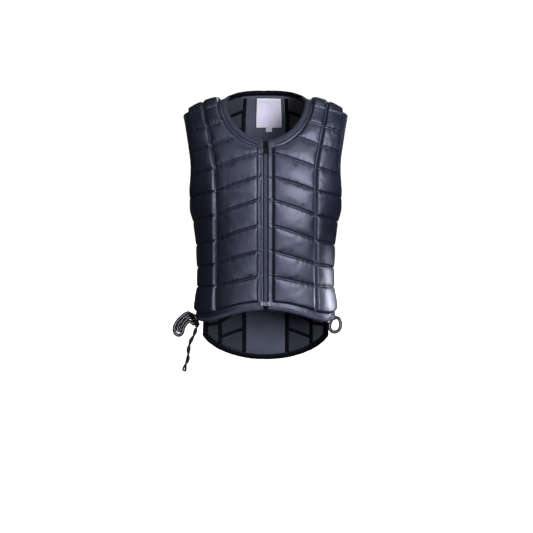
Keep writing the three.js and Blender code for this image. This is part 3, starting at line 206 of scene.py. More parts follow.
BOW_STRAND_RADIUS = 2.0
BOW_STRAND_SHIFT = 2.1
TWISTED_STRAND_RADIUS = 2.4
TWISTED_STRAND_OFFSET = 2.15
TWIST_PITCH = 46

# Finishes that no property sets
EDGE_TAPE_COLOUR = "#383d4e"
BLACK_TAPE_COLOUR = "#030406"
ENAMEL_COLOUR = "#040405"
NICKEL_COLOUR = "#a9aebb"
FILM_COLOUR = "#8d95aa"

QUARTER = math.pi / 2
MM = 0.001


def colour(hex_value):
    """A linear colour from an sRGB hex value such as "#262b3b"."""
    parts = [int(hex_value[i:i + 2], 16) / 255 for i in (1, 3, 5)]
    linear = [c / 12.92 if c <= 0.04045 else ((c + 0.055) / 1.055) ** 2.4 for c in parts]
    return (*linear, 1.0)


def length_property(name, description, default, low, high):
    return bpy.props.FloatProperty(
        name=name, description=description, default=default, min=low, max=high, unit="LENGTH")


def colour_property(name, description, hex_value):
    return bpy.props.FloatVectorProperty(
        name=name, description=description, subtype="COLOR", size=4, min=0.0, max=1.0,
        default=colour(hex_value))


class VestSizes(bpy.types.PropertyGroup):
    """Sizes of the details that a user would change."""

    crown: length_property(
        "Block crown", "How far the middle of a block rises over its edges", 0.0016, 0.0, 0.005)
    rounding: length_property(
        "Block edge", "Width over which a block rounds down into a groove", 0.0052, 0.003, 0.009)
    pucker: length_property(
        "Pucker height", "Height of the gathers beside each sewn groove", 0.0006, 0.0, 0.003)
    wrinkle: length_property(
        "Wrinkle height", "Height of the soft wrinkles over the blocks", 0.00035, 0.0, 0.003)
    pressure: bpy.props.FloatProperty(
        name="Fill pressure", description="Pressure that swells the cloth over the foam",
        default=4.0, min=0.0, max=20.0)
    swell: length_property(
        "Most swell", "The most that the simulation may move a point", 0.0025, 0.0, 0.016)
    stitch: length_property("Stitch length", "Length of one stitch on the bindings", 0.0030, 0.001, 0.006)
    stitch_pitch: length_property(
        "Stitch pitch", "Distance from one stitch to the next", 0.0042, 0.002, 0.01)
    channel: length_property(
        "Lining tape width", "Width of the tapes over the seams of the lining", 0.0095, 0.004, 0.012)


class VestColours(bpy.types.PropertyGroup):
    """Colours of the finishes."""

    nylon: colour_property("Nylon", "Satin nylon of the outside", "#0f1224")
    binding: colour_property("Binding", "Rolled edge tape", "#23283a")
    lining: colour_property("Lining", "Mesh lining of the inside", "#565b72")
    zip_cloth: colour_property("Zip", "Zip tape and coil", "#2b3042")
    lace: colour_property("Lace", "Braided lace cord", "#0c0c13")
    label: colour_property("Label", "Satin label", "#dcd9f2")
    paper: colour_property("Paper", "Seamless paper floor", "#fafafa")


# Shape of the vest. Every function takes and gives numpy arrays, in millimetres and radians.

def read_table(keys, values, at):
    """A smooth curve through a table, read at the values of at."""
    keys = np.asarray(keys, float)
    values = np.asarray(values, float)
    last = len(keys) - 1
    i = np.clip(np.searchsorted(keys, at, side="left") - 1, 0, last - 1)
    before = np.maximum(0, np.arange(last + 1) - 1)
    after = np.minimum(last, np.arange(last + 1) + 1)
    slopes = (values[after] - values[before]) / (keys[after] - keys[before])
    span = keys[i + 1] - keys[i]
    t = np.clip((at - keys[i]) / span, 0, 1)
    t2 = t * t
    t3 = t2 * t
    return ((2 * t3 - 3 * t2 + 1) * values[i] + (t3 - 2 * t2 + t) * span * slopes[i]
            + (3 * t2 - 2 * t3) * values[i + 1] + (t3 - t2) * span * slopes[i + 1])


def signed_power(value, exponent):
    return np.sign(value) * np.abs(value) ** exponent


def half_width(level):
    return CHEST_HALF_WIDTH * read_table(TORSO_DROP, TORSO_WIDTH, -level / BACK_LENGTH)


def shoulder_crest(across):
    along = np.maximum(0, (across - NECK_HALF_WIDTH) / (SHOULDER_TIP - NECK_HALF_WIDTH))
    return -NECK_POINT_DROP - SHOULDER_FALL * along ** 1.7


def crest(across, behind):
    share = np.minimum(1, across / NECK_HALF_WIDTH)
    return shoulder_crest(across) + np.where(behind, NAPE_CREST * (1 - share ** NAPE_ROUNDNESS), 0)


def roll_height(turn):
    return SHOULDER_ROLL + (TIP_ROLL - SHOULDER_ROLL) * np.sin(turn) ** 2


def surface_level(turn, run):
    across = np.abs(signed_power(np.sin(turn), 2 / SQUARENESS))
    height = roll_height(turn)
    roll = np.minimum(run / height, QUARTER)
    top = crest(across * SHOULDER_HALF_WIDTH, turn > QUARTER)
    return top - height * (1 - np.cos(roll)) - np.maximum(0, run - height * QUARTER)


def surface_point(turn, run):
    """Points of the block tops: turn is the angle round the body from the centre front, and run the
    distance down the surface from the crest."""
    turn, run = np.broadcast_arrays(np.asarray(turn, float), np.asarray(run, float))
    across = signed_power(np.sin(turn), 2 / SQUARENESS)
    away = signed_power(np.cos(turn), 2 / SQUARENESS)
    roll = np.minimum(run / roll_height(turn), QUARTER)
    level = surface_level(turn, run)
    drop = -level / BACK_LENGTH
    depth = np.where(turn > QUARTER, BACK_DEPTH * read_table(TORSO_DROP, TORSO_BACK, drop),
                     FRONT_DEPTH * read_table(TORSO_DROP, TORSO_FRONT, drop))
    return np.stack([half_width(level) * across, -away * depth * np.sin(roll), level], -1)


def run_at(turn, level):
    across = np.abs(signed_power(np.sin(turn), 2 / SQUARENESS))
    fall = np.maximum(0, crest(across * SHOULDER_HALF_WIDTH, turn > QUARTER) - level)
    height = roll_height(turn)
    rolled = height * np.arccos(np.clip(1 - fall / height, -1, 1))
    return np.where(fall > height, height * QUARTER + fall - height, rolled)


def turn_at(across, level, behind):
    turn = np.arcsin(np.minimum(1, across / half_width(level)) ** (SQUARENESS / 2))
    return math.pi - turn if behind else turn


def unit(vectors):
    return vectors / np.maximum(1e-12, np.linalg.norm(vectors, axis=-1, keepdims=True))


def outward_normal(turn, run):
    round_body = surface_point(turn + 0.002, run) - surface_point(turn - 0.002, run)
    down = surface_point(turn, run + 0.5) - surface_point(turn, np.maximum(0, run - 0.5))
    return -unit(np.cross(round_body, down))


def shell_point(turn, run, depth):
    """Points at a depth below the block tops."""
    return surface_point(turn, run) - outward_normal(turn, run) * np.asarray(depth)[..., None]


def front_inner_edge(level):
    height = (-NECK_POINT_DROP - level) / (NECK_DROP - NECK_POINT_DROP)
    neckline = NECK_HALF_WIDTH * np.sqrt(np.maximum(0, 1 - height * height))
    turn = turn_at(np.maximum(ZIP_HALF_OPENING, neckline), level, False)
    return turn, run_at(turn, level)


def outer_edge(level, behind):
    side = BACK_SIDE_TURN if behind else FRONT_SIDE_TURN
    middle = ARMHOLE_BACK_TURN if behind else ARMHOLE_FRONT_TURN
    tip = turn_at(SHOULDER_TIP, shoulder_crest(SHOULDER_TIP), behind)
    share = np.clip(-level / ARMHOLE_DEPTH, 0, 1)
    above = np.minimum(1, share / ARMHOLE_NARROWEST)
    below = np.maximum(0, (share - ARMHOLE_NARROWEST) / (1 - ARMHOLE_NARROWEST))
    turn = tip + (middle - tip) * np.sin(above * QUARTER)
    turn = turn + (side - turn) * (1 - np.sqrt(np.maximum(0, 1 - below * below)))
    return turn, run_at(turn, level)


def seam_point(level, behind):
    across = CHEST_HALF_WIDTH * read_table(SEAM_DROP, SEAM_ACROSS, -level / FRONT_LENGTH)
    turn = turn_at(across, level, behind)
    return turn, run_at(turn, level)


def spine_point(level):
    turn = turn_at(np.full_like(level, SPINE_HALF_WIDTH), level, True)
    return turn, run_at(turn, level)


def spine_centre(level):
    turn = np.full_like(level, math.pi)
    return turn, run_at(turn, level)


def front_hem_level(turn):
    return -FRONT_LENGTH * read_table(HEM_TURN, HEM_DROP, turn / FRONT_SIDE_TURN)


def back_hem_level(across):
    share = np.minimum(1, across / TAIL_HALF_WIDTH)
    return -BACK_LENGTH + TAIL_HEIGHT * (1 - np.sqrt(1 - share * share))


def nape_level(across):
    share = np.minimum(1, across / NECK_HALF_WIDTH)
    return -NECK_POINT_DROP + (NAPE_RISE + NECK_POINT_DROP) * (1 - share ** 4)


def nape_point(across):
    level = nape_level(across)
    turn = turn_at(across, level, True)
    return turn, run_at(turn, level)


def between(a, b, share):
    """A place between two others: near the shoulder by its run, and lower down by its level."""
    turn = a[0] + (b[0] - a[0]) * share
    run = a[1] + (b[1] - a[1]) * share
    low = surface_level(*a)
    level = low + (surface_level(*b) - low) * share
    steep = np.clip(run / roll_height(turn) / QUARTER, 0, 1)
    steep = steep * steep * (3 - 2 * steep)
    return turn, run + (run_at(turn, level) - run) * steep


# Grids of a panel. A station is a row line, and the last one is the hem.

def end_level(kind, share, hem_inner, hem_outer):
    """The level of a row's end on the neckline, zip edge, armhole or side edge."""
    if kind == "n":
        return -share * NECK_DROP
    if kind == "a":
        return -share * ARMHOLE_DEPTH
    if kind == "z":
        return -NECK_DROP + (hem_inner + NECK_DROP) * share
    return -ARMHOLE_DEPTH + (hem_outer + ARMHOLE_DEPTH) * share


def front_stations():
    inner_hem = -FRONT_LENGTH * HEM_DROP[0]
    outer_hem = -FRONT_LENGTH * HEM_DROP[-1]
    levels = [(end_level(row[2], row[3], inner_hem, outer_hem), -row[1] * FRONT_LENGTH,
               end_level(row[4], row[5], inner_hem, outer_hem)) for row in FRONT_ROWS]
    return np.array(levels), [front_inner_edge, lambda z: seam_point(z, False),
                              lambda z: outer_edge(z, False)]


def back_corner_level():
    turn = BACK_SIDE_TURN
    return float(back_hem_level(surface_point(turn, run_at(turn, -BACK_LENGTH * 0.9))[..., 0]))


def back_stations():
    corner = back_corner_level()
    levels = [(-row[1] * BACK_LENGTH, -row[1] * BACK_LENGTH, -row[2] * BACK_LENGTH,
               end_level(row[3], row[4], 0, corner)) for row in BACK_ROWS]
    return np.array(levels), [spine_centre, spine_point, lambda z: seam_point(z, True),
                              lambda z: outer_edge(z, True)]


def across_line(knots, shares):
    """One line across a panel, from its knots and the shares of each span."""
    turns = []
    runs = []
    for k, share in enumerate(shares):
        turn, run = between(knots[k], knots[k + 1], share)
        turns.append(turn)
        runs.append(run)
    return np.concatenate(turns, -1), np.concatenate(runs, -1)


def front_top(shares):
    across = [NECK_HALF_WIDTH, SEAM_ACROSS[0] * CHEST_HALF_WIDTH, SHOULDER_TIP]
    turns = [turn_at(a, shoulder_crest(a), False) for a in across]
    line = np.concatenate([turns[k] + (turns[k + 1] - turns[k]) * s for k, s in enumerate(shares)])
    return line, np.full_like(line, SEAM_RUN)


def front_bottom(shares):
    seam = seam_point(np.array(-float(FRONT_LENGTH)), False)[0]
    start = front_inner_edge(np.array(-FRONT_LENGTH * HEM_DROP[0]))[0]
    turns = [start, seam, FRONT_SIDE_TURN]
    line = np.concatenate([turns[k] + (turns[k + 1] - turns[k]) * s for k, s in enumerate(shares)])
    return line, run_at(line, front_hem_level(line))


def back_top(shares):
    """The nape from its middle, then the shoulder seam. The nape's corner is at 0.7 of the second span."""
    spine = nape_point(SPINE_HALF_WIDTH * shares[0])
    second = shares[1]
    nape_part = np.clip(second / 0.7, 0, 1)
    nape_part = np.sin(nape_part * QUARTER)
    across = SPINE_HALF_WIDTH + (NECK_HALF_WIDTH - 0.05 - SPINE_HALF_WIDTH) * nape_part
    nape = nape_point(across)
    seam_top = SEAM_ACROSS[0] * CHEST_HALF_WIDTH
    beyond = NECK_HALF_WIDTH + 0.5 + (seam_top - NECK_HALF_WIDTH - 0.5) * np.clip((second - 0.7) / 0.3, 0, 1)
    seam_turn = turn_at(beyond, shoulder_crest(beyond), True)
    on_nape = second < 0.7
    turn_2 = np.where(on_nape, nape[0], seam_turn)
    run_2 = np.where(on_nape, nape[1], SEAM_RUN)
    third = seam_top + (SHOULDER_TIP - seam_top) * shares[2]
    turn_3 = turn_at(third, shoulder_crest(third), True)
    return (np.concatenate([spine[0], turn_2, turn_3]),
            np.concatenate([spine[1], run_2, np.full_like(turn_3, SEAM_RUN)]))


def back_bottom(shares):
    turns = [math.pi, spine_point(np.array(-BACK_LENGTH * 0.99))[0],
             seam_point(np.array(-BACK_LENGTH * 0.94), True)[0], BACK_SIDE_TURN]
    line = np.concatenate([turns[k] + (turns[k + 1] - turns[k]) * s for k, s in enumerate(shares)])
    across = np.abs(surface_point(line, run_at(line, -BACK_LENGTH * 0.95))[..., 0])
    return line, run_at(line, back_hem_level(across))


def panel_grid(stations, curves, top, bottom, counts, spacing):
    """The (turn, run) grid of a panel."""
    shares = [np.linspace(0, 1, n + 1)[(1 if k else 0):] for k, n in enumerate(counts)]
    columns = len(curves)
    last = len(stations)
    knots = [curve(stations[:, k]) for k, curve in enumerate(curves)]
    points = [surface_point(*knot) for knot in knots]
    steps = np.max([np.linalg.norm(np.diff(p, axis=0), axis=-1) for p in points], axis=0)
    rows = []
    first = [(float(k[0][0]), float(k[1][0])) for k in knots]
    lowest = [(np.array(float(k[0][-1])), np.array(float(k[1][-1]))) for k in knots]
    row_one = across_line([(np.array(a), np.array(b)) for a, b in first], shares)
    row_last = across_line(lowest, shares)
    top_line = top(shares)
    bottom_line = bottom(shares)

    def blend(a, b, n):
        for i in range(n):
            t = i / n
            rows.append((a[0] + (b[0] - a[0]) * t, a[1] + (b[1] - a[1]) * t))

    def gap(a, b):
        return np.max(np.linalg.norm(surface_point(*a) - surface_point(*b), axis=-1))

    blend(top_line, row_one, max(3, round(gap(top_line, row_one) / spacing)))
    for i in range(last - 1):
        n = max(2, round(steps[i] / spacing))
        for j in range(n):
            t = j / n
            levels = stations[i] + (stations[i + 1] - stations[i]) * t
            here = [curves[k](np.array(levels[k])) for k in range(columns)]
            rows.append(across_line(here, shares))
    blend(row_last, bottom_line, max(3, round(gap(row_last, bottom_line) / spacing)))
    rows.append(bottom_line)
    return np.stack([r[0] for r in rows]), np.stack([r[1] for r in rows])


def dense(points, spacing=1.5):
    """Points along a polyline at an even spacing."""
    lengths = np.linalg.norm(np.diff(points, axis=0), axis=1)
    total = np.concatenate([[0], np.cumsum(lengths)])
    at = np.linspace(0, total[-1], max(2, int(total[-1] / spacing) + 1))
    return np.stack([np.interp(at, total, points[:, k]) for k in range(3)], -1)


def distance_to(lines, points):
    """The distance of each point to the nearest of some lines."""
    tree_points = np.concatenate([dense(line) for line in lines])
    tree = KDTree(len(tree_points))
    for i, point in enumerate(tree_points):
        tree.insert(point, i)
    tree.balance()
    flat = points.reshape(-1, 3)
    found = np.array([tree.find(point)[2] for point in flat])
    return found.reshape(points.shape[:-1])


def soft_noise(u, v, cell_u, cell_v, seed):
    """Smooth noise between -1 and 1 over two coordinates, from a seeded lattice."""
    high, wide = 97, 89
    lattice = np.random.default_rng(seed).uniform(-1, 1, (high, wide))
    x = np.asarray(u) / cell_u + 500
    y = np.asarray(v) / cell_v + 500
    i = np.floor(x).astype(int)
    j = np.floor(y).astype(int)
    a = x - i
    b = y - j
    a = a * a * (3 - 2 * a)
    b = b * b * (3 - 2 * b)
    c00 = lattice[i % high, j % wide]
    c10 = lattice[(i + 1) % high, j % wide]
    c01 = lattice[i % high, (j + 1) % wide]
    c11 = lattice[(i + 1) % high, (j + 1) % wide]
    return (c00 * (1 - a) + c10 * a) * (1 - b) + (c01 * (1 - a) + c11 * a) * b


# Meshes

def make_object(name, vertices, faces, uvs=None, face_slots=None):
    """A mesh object in metres from points in millimetres. uvs are in metres, one to a vertex."""
    mesh = bpy.data.meshes.new(name)
    mesh.from_pydata((np.asarray(vertices) * MM).tolist(), [], [list(f) for f in faces])
    if uvs is not None:
        layer = mesh.uv_layers.new(name="cloth")
        corner = np.empty(len(mesh.loops), np.int32)
        mesh.loops.foreach_get("vertex_index", corner)
        layer.data.foreach_set("uv", np.asarray(uvs, np.float32)[corner].ravel())
    if face_slots is not None:
        mesh.polygons.foreach_set("material_index", np.asarray(face_slots, np.int32))
    mesh.polygons.foreach_set("use_smooth", np.full(len(mesh.polygons), True))
    mesh.update()
    obj = bpy.data.objects.new(name, mesh)
    bpy.context.scene.collection.objects.link(obj)
    return obj


def grid_faces(rows, columns, offset=0, flipped=False):
    i, j = np.meshgrid(np.arange(rows - 1), np.arange(columns - 1), indexing="ij")
    a = (i * columns + j).ravel() + offset
    quads = np.stack([a, a + columns, a + columns + 1, a + 1], -1)
    return quads[:, ::-1] if flipped else quads


def strip_faces(first, second, flipped=False):
    """Triangles between two lines of vertices: lists of (id, place along the line)."""
    faces = []
    i = 0
    j = 0
    while i < len(first) - 1 or j < len(second) - 1:
        next_first = first[i + 1][1] if i < len(first) - 1 else math.inf
        next_second = second[j + 1][1] if j < len(second) - 1 else math.inf
        if next_first <= next_second:
            faces.append((first[i][0], first[i + 1][0], second[j][0]))
            i += 1
        else:
            faces.append((first[i][0], second[j + 1][0], second[j][0]))
            j += 1
    return [f[::-1] for f in faces] if flipped else faces


def finish_piece(obj, nodes=(), body="vest", materials=()):
    """Puts materials on a piece, ties it to its body and hides the imported solids that it stands for."""
    for material in materials:
        obj.data.materials.append(material)
    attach(obj, body)
    if nodes:
        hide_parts(*nodes)
    return obj


def catmull(points, steps):
    """A centripetal curve through points, as three's, with a number of steps to each span."""
    p = np.asarray(points, float)
    start = 2 * p[0] - p[1]
    end = 2 * p[-1] - p[-2]
    q = np.vstack([start, p, end])
    out = []
    for i in range(1, len(q) - 2):
        p0, p1, p2, p3 = q[i - 1], q[i], q[i + 1], q[i + 2]
        d0 = max(1e-4, np.linalg.norm(p1 - p0) ** 0.5)
        d1 = max(1e-4, np.linalg.norm(p2 - p1) ** 0.5)
        d2 = max(1e-4, np.linalg.norm(p3 - p2) ** 0.5)
        t1 = ((p1 - p0) / d0 - (p2 - p0) / (d0 + d1) + (p2 - p1) / d1) * d1
        t2 = ((p2 - p1) / d1 - (p3 - p1) / (d1 + d2) + (p3 - p2) / d2) * d1
        for s in range(steps):
            t = s / steps
            out.append((2 * t ** 3 - 3 * t ** 2 + 1) * p1 + (t ** 3 - 2 * t ** 2 + t) * t1
                       + (-2 * t ** 3 + 3 * t ** 2) * p2 + (t ** 3 - t ** 2) * t2)
    out.append(p[-1])
    return np.array(out)


def path_frames(path):
    """Unit vectors along and across a path, the across ones carried without twist."""
    along = unit(np.gradient(path, axis=0))
    across = np.array([0.31, 0.95, 0.05])
    sides = []
    for step in along:
        across = across - step * across.dot(step)
        across = across / np.linalg.norm(across)
        sides.append(across.copy())
    sides = np.array(sides)
    return along, sides, np.cross(along, sides)


def tube(path, radius, sides=14, offset=0.0, turns_per_mm=0.0, phase=0.0, spread=None):
    """Vertices, faces and uvs of a round tube along a path. offset and turns_per_mm wind it round."""
    along, side, up = path_frames(path)
    lengths = np.concatenate([[0], np.cumsum(np.linalg.norm(np.diff(path, axis=0), axis=1))])
    n = len(path)
    angle = phase + 2 * math.pi * turns_per_mm * lengths
    reach = offset if spread is None else offset + spread
    centre = path + (np.cos(angle)[:, None] * side + np.sin(angle)[:, None] * up) * np.reshape(
        np.broadcast_to(reach, n), (n, 1))
    radii = np.broadcast_to(radius, n)
    ring = 2 * math.pi * np.arange(sides) / sides
    vertices = (centre[:, None, :] + radii[:, None, None] * (
        np.cos(ring)[None, :, None] * side[:, None, :] + np.sin(ring)[None, :, None] * up[:, None, :]))
    u = np.broadcast_to(lengths[:, None], (n, sides)) * MM
    v = np.broadcast_to((ring / (2 * math.pi))[None, :], (n, sides)) * 0.0113
    faces = []
    for i in range(n - 1):
        for k in range(sides):
            m = (k + 1) % sides
            faces.append((i * sides + k, i * sides + m, (i + 1) * sides + m, (i + 1) * sides + k))
    faces.append(tuple(range(sides))[::-1])
    faces.append(tuple((n - 1) * sides + k for k in range(sides)))
    return vertices.reshape(-1, 3), faces, np.stack([u, v], -1).reshape(-1, 2)


def merge(parts):
    """One mesh from several (vertices, faces, uvs)."""
    vertices = []
    faces = []
    uvs = []
    count = 0
    for v, f, t in parts:
        vertices.append(v)
        uvs.append(t)
        faces.extend(tuple(int(i) + count for i in face) for face in f)
        count += len(v)
    return np.concatenate(vertices), faces, np.concatenate(uvs)


def mirrored(part):
    v, f, t = part
    return v * np.array([-1, 1, 1]), [tuple(face)[::-1] for face in f], t


def swept(path, out, up, section):
    """A closed section of (out, up) pairs along a path, with flat ends."""
    n = len(path)
    k = len(section)
    section = np.asarray(section, float)
    vertices = (path[:, None, :] + section[None, :, :1] * out[:, None, :]
                + section[None, :, 1:] * up[:, None, :])
    lengths = np.concatenate([[0], np.cumsum(np.linalg.norm(np.diff(path, axis=0), axis=1))])
    closed = np.vstack([section, section[:1]])
    girth = np.concatenate([[0], np.cumsum(np.linalg.norm(np.diff(closed, axis=0), axis=1))])[:-1]
    uvs = np.stack(np.meshgrid(lengths * MM, girth * MM, indexing="ij"), -1)
    faces = []
    for i in range(n - 1):
        for m in range(k):
            q = (m + 1) % k
            faces.append((i * k + m, i * k + q, (i + 1) * k + q, (i + 1) * k + m))
    faces.append(tuple(range(k))[::-1])
    faces.append(tuple((n - 1) * k + m for m in range(k)))
    return vertices.reshape(-1, 3), faces, uvs.reshape(-1, 2)


def ribbon(points, normals, width, thickness, crown=0.15):
    """A thin flat strip along points, whose face looks along the normals."""
    along = unit(np.gradient(points, axis=0))
    across = unit(np.cross(normals, along))
    half = width / 2
    section = [(-half, 0), (-half, thickness * 0.6), (-half * 0.6, thickness), (0, thickness + crown),
               (half * 0.6, thickness), (half, thickness * 0.6), (half, 0)]
    return swept(points, across, unit(np.cross(along, across)), section)


def stitches(points, normals, length, pitch, radius):
    """A row of small lozenge stitches along points, as in a sewn edge."""
    lengths = np.concatenate([[0], np.cumsum(np.linalg.norm(np.diff(points, axis=0), axis=1))])
    at = np.arange(pitch / 2, lengths[-1] - pitch / 2, pitch)
    centre = np.stack([np.interp(at, lengths, points[:, k]) for k in range(3)], -1)
    normal = unit(np.stack([np.interp(at, lengths, normals[:, k]) for k in range(3)], -1))
    ahead = np.stack([np.interp(at + 0.5, lengths, points[:, k]) for k in range(3)], -1)
    along = unit(ahead - centre)
    across = np.cross(normal, along)
    shape = [(-0.5, 0, 0), (-0.28, 1, 0.25), (-0.28, 0, 1), (-0.28, -1, 0.25),
             (0.28, 1, 0.25), (0.28, 0, 1), (0.28, -1, 0.25), (0.5, 0, 0)]
    cells = [(0, 1, 2), (0, 2, 3), (1, 4, 5, 2), (2, 5, 6, 3), (4, 7, 5), (5, 7, 6),
             (0, 3, 1), (1, 3, 6, 4), (4, 6, 7)]
    vertices = np.concatenate([
        centre[:, None, :] + (s[0] * length) * along[:, None, :] + (s[1] * radius) * across[:, None, :]
        + (s[2] * radius) * normal[:, None, :] for s in [shape[k] for k in range(8)]], axis=1)
    vertices = vertices.reshape(-1, 3)
    faces = [tuple(8 * n + i for i in cell) for n in range(len(at)) for cell in cells]
    return vertices, faces, np.zeros((len(vertices), 2))


# Materials

def add_node(tree, kind, settings=None, links=None):
    """Adds a node, sets its properties and unlinked inputs, and links other nodes' outputs to it."""
    node = tree.nodes.new(kind)
    for name, value in (settings or {}).items():
        if name.startswith("in:"):
            key = name[3:]
            node.inputs[int(key) if key.isdigit() else key].default_value = value
        else:
            setattr(node, name, value)
    for name, source in (links or {}).items():
        tree.links.new(source, node.inputs[int(name) if name.isdigit() else name])
    return node


def start_material(name, base, roughness, **sockets):
    """A Principled material with its constant values set on the shader's own sockets."""
    material = bpy.data.materials.new(name)
    material.use_nodes = True
    tree = material.node_tree
    tree.nodes.clear()
    output = add_node(tree, "ShaderNodeOutputMaterial")
    shader = add_node(tree, "ShaderNodeBsdfPrincipled")
    tree.links.new(shader.outputs["BSDF"], output.inputs["Surface"])
    shader.inputs["Base Color"].default_value = base
    shader.inputs["Roughness"].default_value = roughness
    for key, value in sockets.items():
        shader.inputs[key.replace("_", " ").title().replace("Ior", "IOR")].default_value = value
    return material, tree, shader


def scaled(base, factor):
    return (*[min(1.0, c * factor) for c in base[:3]], 1.0)


def vary_colour(tree, shader, base, scale, low, high, detail=3.0):
    """Slow changes of colour, as dye and handling leave on cloth. scale is in patches to a metre."""
    place = add_node(tree, "ShaderNodeTexCoord")
    noise = add_node(tree, "ShaderNodeTexNoise", {"in:Scale": scale, "in:Detail": detail}, {
        "Vector": place.outputs["Object"]})
    ramp = add_node(tree, "ShaderNodeValToRGB", {}, {"Fac": noise.outputs["Fac"]})
    ramp.color_ramp.elements[0].position = 0.3
    ramp.color_ramp.elements[0].color = scaled(base, low)
    ramp.color_ramp.elements[1].position = 0.7
    ramp.color_ramp.elements[1].color = scaled(base, high)
    tree.links.new(ramp.outputs["Color"], shader.inputs["Base Color"])
    return place, noise, ramp


def add_bump(tree, shader, strength, distance, height, under=None):
    """Tilts the surface by a height, over another bump if there is one."""
    links = {"Height": height}
    if under is not None:
        links["Normal"] = under.outputs["Normal"]
    bump = add_node(tree, "ShaderNodeBump", {"in:Strength": strength, "in:Distance": distance}, links)
    if shader is not None:
        tree.links.new(bump.outputs["Normal"], shader.inputs["Normal"])
    return bump


def weave_height(tree, thread_u, thread_v, angle=0.0):
    """Crossed threads from the cloth's own coordinates; thread sizes are in metres."""
    cloth = add_node(tree, "ShaderNodeUVMap", {"uv_map": "cloth"})
    turned = add_node(tree, "ShaderNodeMapping", {"in:Rotation": (0, 0, angle)}, {
        "Vector": cloth.outputs["UV"]})
    warp = add_node(tree, "ShaderNodeTexWave", {
        "bands_direction": "X", "in:Scale": WAVE_REPEAT / thread_u, "in:Distortion": 0.0}, {
        "Vector": turned.outputs["Vector"]})
    weft = add_node(tree, "ShaderNodeTexWave", {
        "bands_direction": "Y", "in:Scale": WAVE_REPEAT / thread_v, "in:Distortion": 0.0}, {
        "Vector": turned.outputs["Vector"]})
    return add_node(tree, "ShaderNodeMath", {"operation": "MULTIPLY"}, {
        "0": warp.outputs["Fac"], "1": weft.outputs["Fac"]})


def satin_nylon(base):
    """Satin-woven nylon pulled over foam: close threads give a broad soft gloss, and the gathers
    break it up. Threads are about 0.3 mm apart, drawn at 1.1 mm so that they show."""
    material, tree, shader = start_material(
        "satin_woven_nylon", base, 0.46, ior=1.53)
    shader.inputs["Specular IOR Level"].default_value = 0.95
    shader.inputs["Specular Tint"].default_value = (0.70, 0.75, 1.0, 1.0)
    place, noise, _ = vary_colour(tree, shader, base, 9.0, 0.85, 1.2)
    rough = add_node(tree, "ShaderNodeMapRange", {"in:To Min": 0.40, "in:To Max": 0.52}, {
        "Value": noise.outputs["Fac"]})
    tree.links.new(rough.outputs["Result"], shader.inputs["Roughness"])
    weave = weave_height(tree, 0.0011, 0.0011)
    threads = add_bump(tree, None, 0.14, 0.0003, weave.outputs["Value"])
    folds = add_node(tree, "ShaderNodeTexNoise", {"in:Scale": 85.0, "in:Detail": 4.0, "in:Roughness": 0.55}, {
        "Vector": place.outputs["Object"]})
    add_bump(tree, shader, 0.3, 0.0010, folds.outputs["Fac"], threads)
    return material


def knitted_mesh(name, base):
    """Knitted polyester mesh: dull, with fine upright ribs and rows of holes. The ribs are about
    1 mm apart, drawn at 2.4 mm so that they show."""
    material, tree, shader = start_material(name, base, 0.85, ior=1.5, sheen_weight=0.1)
    _, _, ramp = vary_colour(tree, shader, base, 12.0, 0.7, 1.15)
    cloth = add_node(tree, "ShaderNodeUVMap", {"uv_map": "cloth"})
    ribs = add_node(tree, "ShaderNodeTexWave", {"bands_direction": "X", "in:Scale": WAVE_REPEAT / 0.0024}, {
        "Vector": cloth.outputs["UV"]})
    holes = add_node(tree, "ShaderNodeTexVoronoi", {"in:Scale": 420.0}, {"Vector": cloth.outputs["UV"]})
    dark = add_node(tree, "ShaderNodeMapRange", {
        "in:From Min": 0.1, "in:From Max": 0.9, "in:To Min": 0.45, "in:To Max": 1.0}, {
        "Value": ribs.outputs["Fac"]})
    shade = add_node(tree, "ShaderNodeMix", {"data_type": "RGBA", "blend_type": "MULTIPLY", "in:0": 0.8}, {
        "6": ramp.outputs["Color"], "7": dark.outputs["Result"]})
    tree.links.new(shade.outputs[2], shader.inputs["Base Color"])
    height = add_node(tree, "ShaderNodeMath", {"operation": "ADD"}, {
        "0": ribs.outputs["Fac"], "1": holes.outputs["Distance"]})
    add_bump(tree, shader, 0.5, 0.0006, height.outputs["Value"])
    return material


def ribbed_tape(name, base, pitch, roughness=0.55, shine=0.04, gloss=0.5):
    """Woven tape with cross ribs: mostly dull, with a thin light along its rolled edge. Ribs are
    about 0.6 mm apart, drawn at the pitch so that they show."""
    material, tree, shader = start_material(name, base, roughness, ior=1.5, sheen_weight=shine)
    shader.inputs["Specular IOR Level"].default_value = gloss
    shader.inputs["Specular Tint"].default_value = (0.72, 0.78, 1.0, 1.0)
    place, _, _ = vary_colour(tree, shader, base, 30.0, 0.75, 1.25)
    cloth = add_node(tree, "ShaderNodeUVMap", {"uv_map": "cloth"})
    ribs = add_node(tree, "ShaderNodeTexWave", {
        "bands_direction": "X", "in:Scale": WAVE_REPEAT / pitch, "in:Distortion": 0.6, "in:Detail": 1.0}, {
        "Vector": cloth.outputs["UV"]})
    lumps = add_node(tree, "ShaderNodeTexNoise", {"in:Scale": 120.0, "in:Detail": 2.0}, {
        "Vector": place.outputs["Object"]})
    height = add_node(tree, "ShaderNodeMath", {"operation": "MULTIPLY_ADD", "in:1": 0.5}, {
        "0": ribs.outputs["Fac"], "2": lumps.outputs["Fac"]})
    add_bump(tree, shader, 0.5, 0.0006, height.outputs["Value"])
    return material


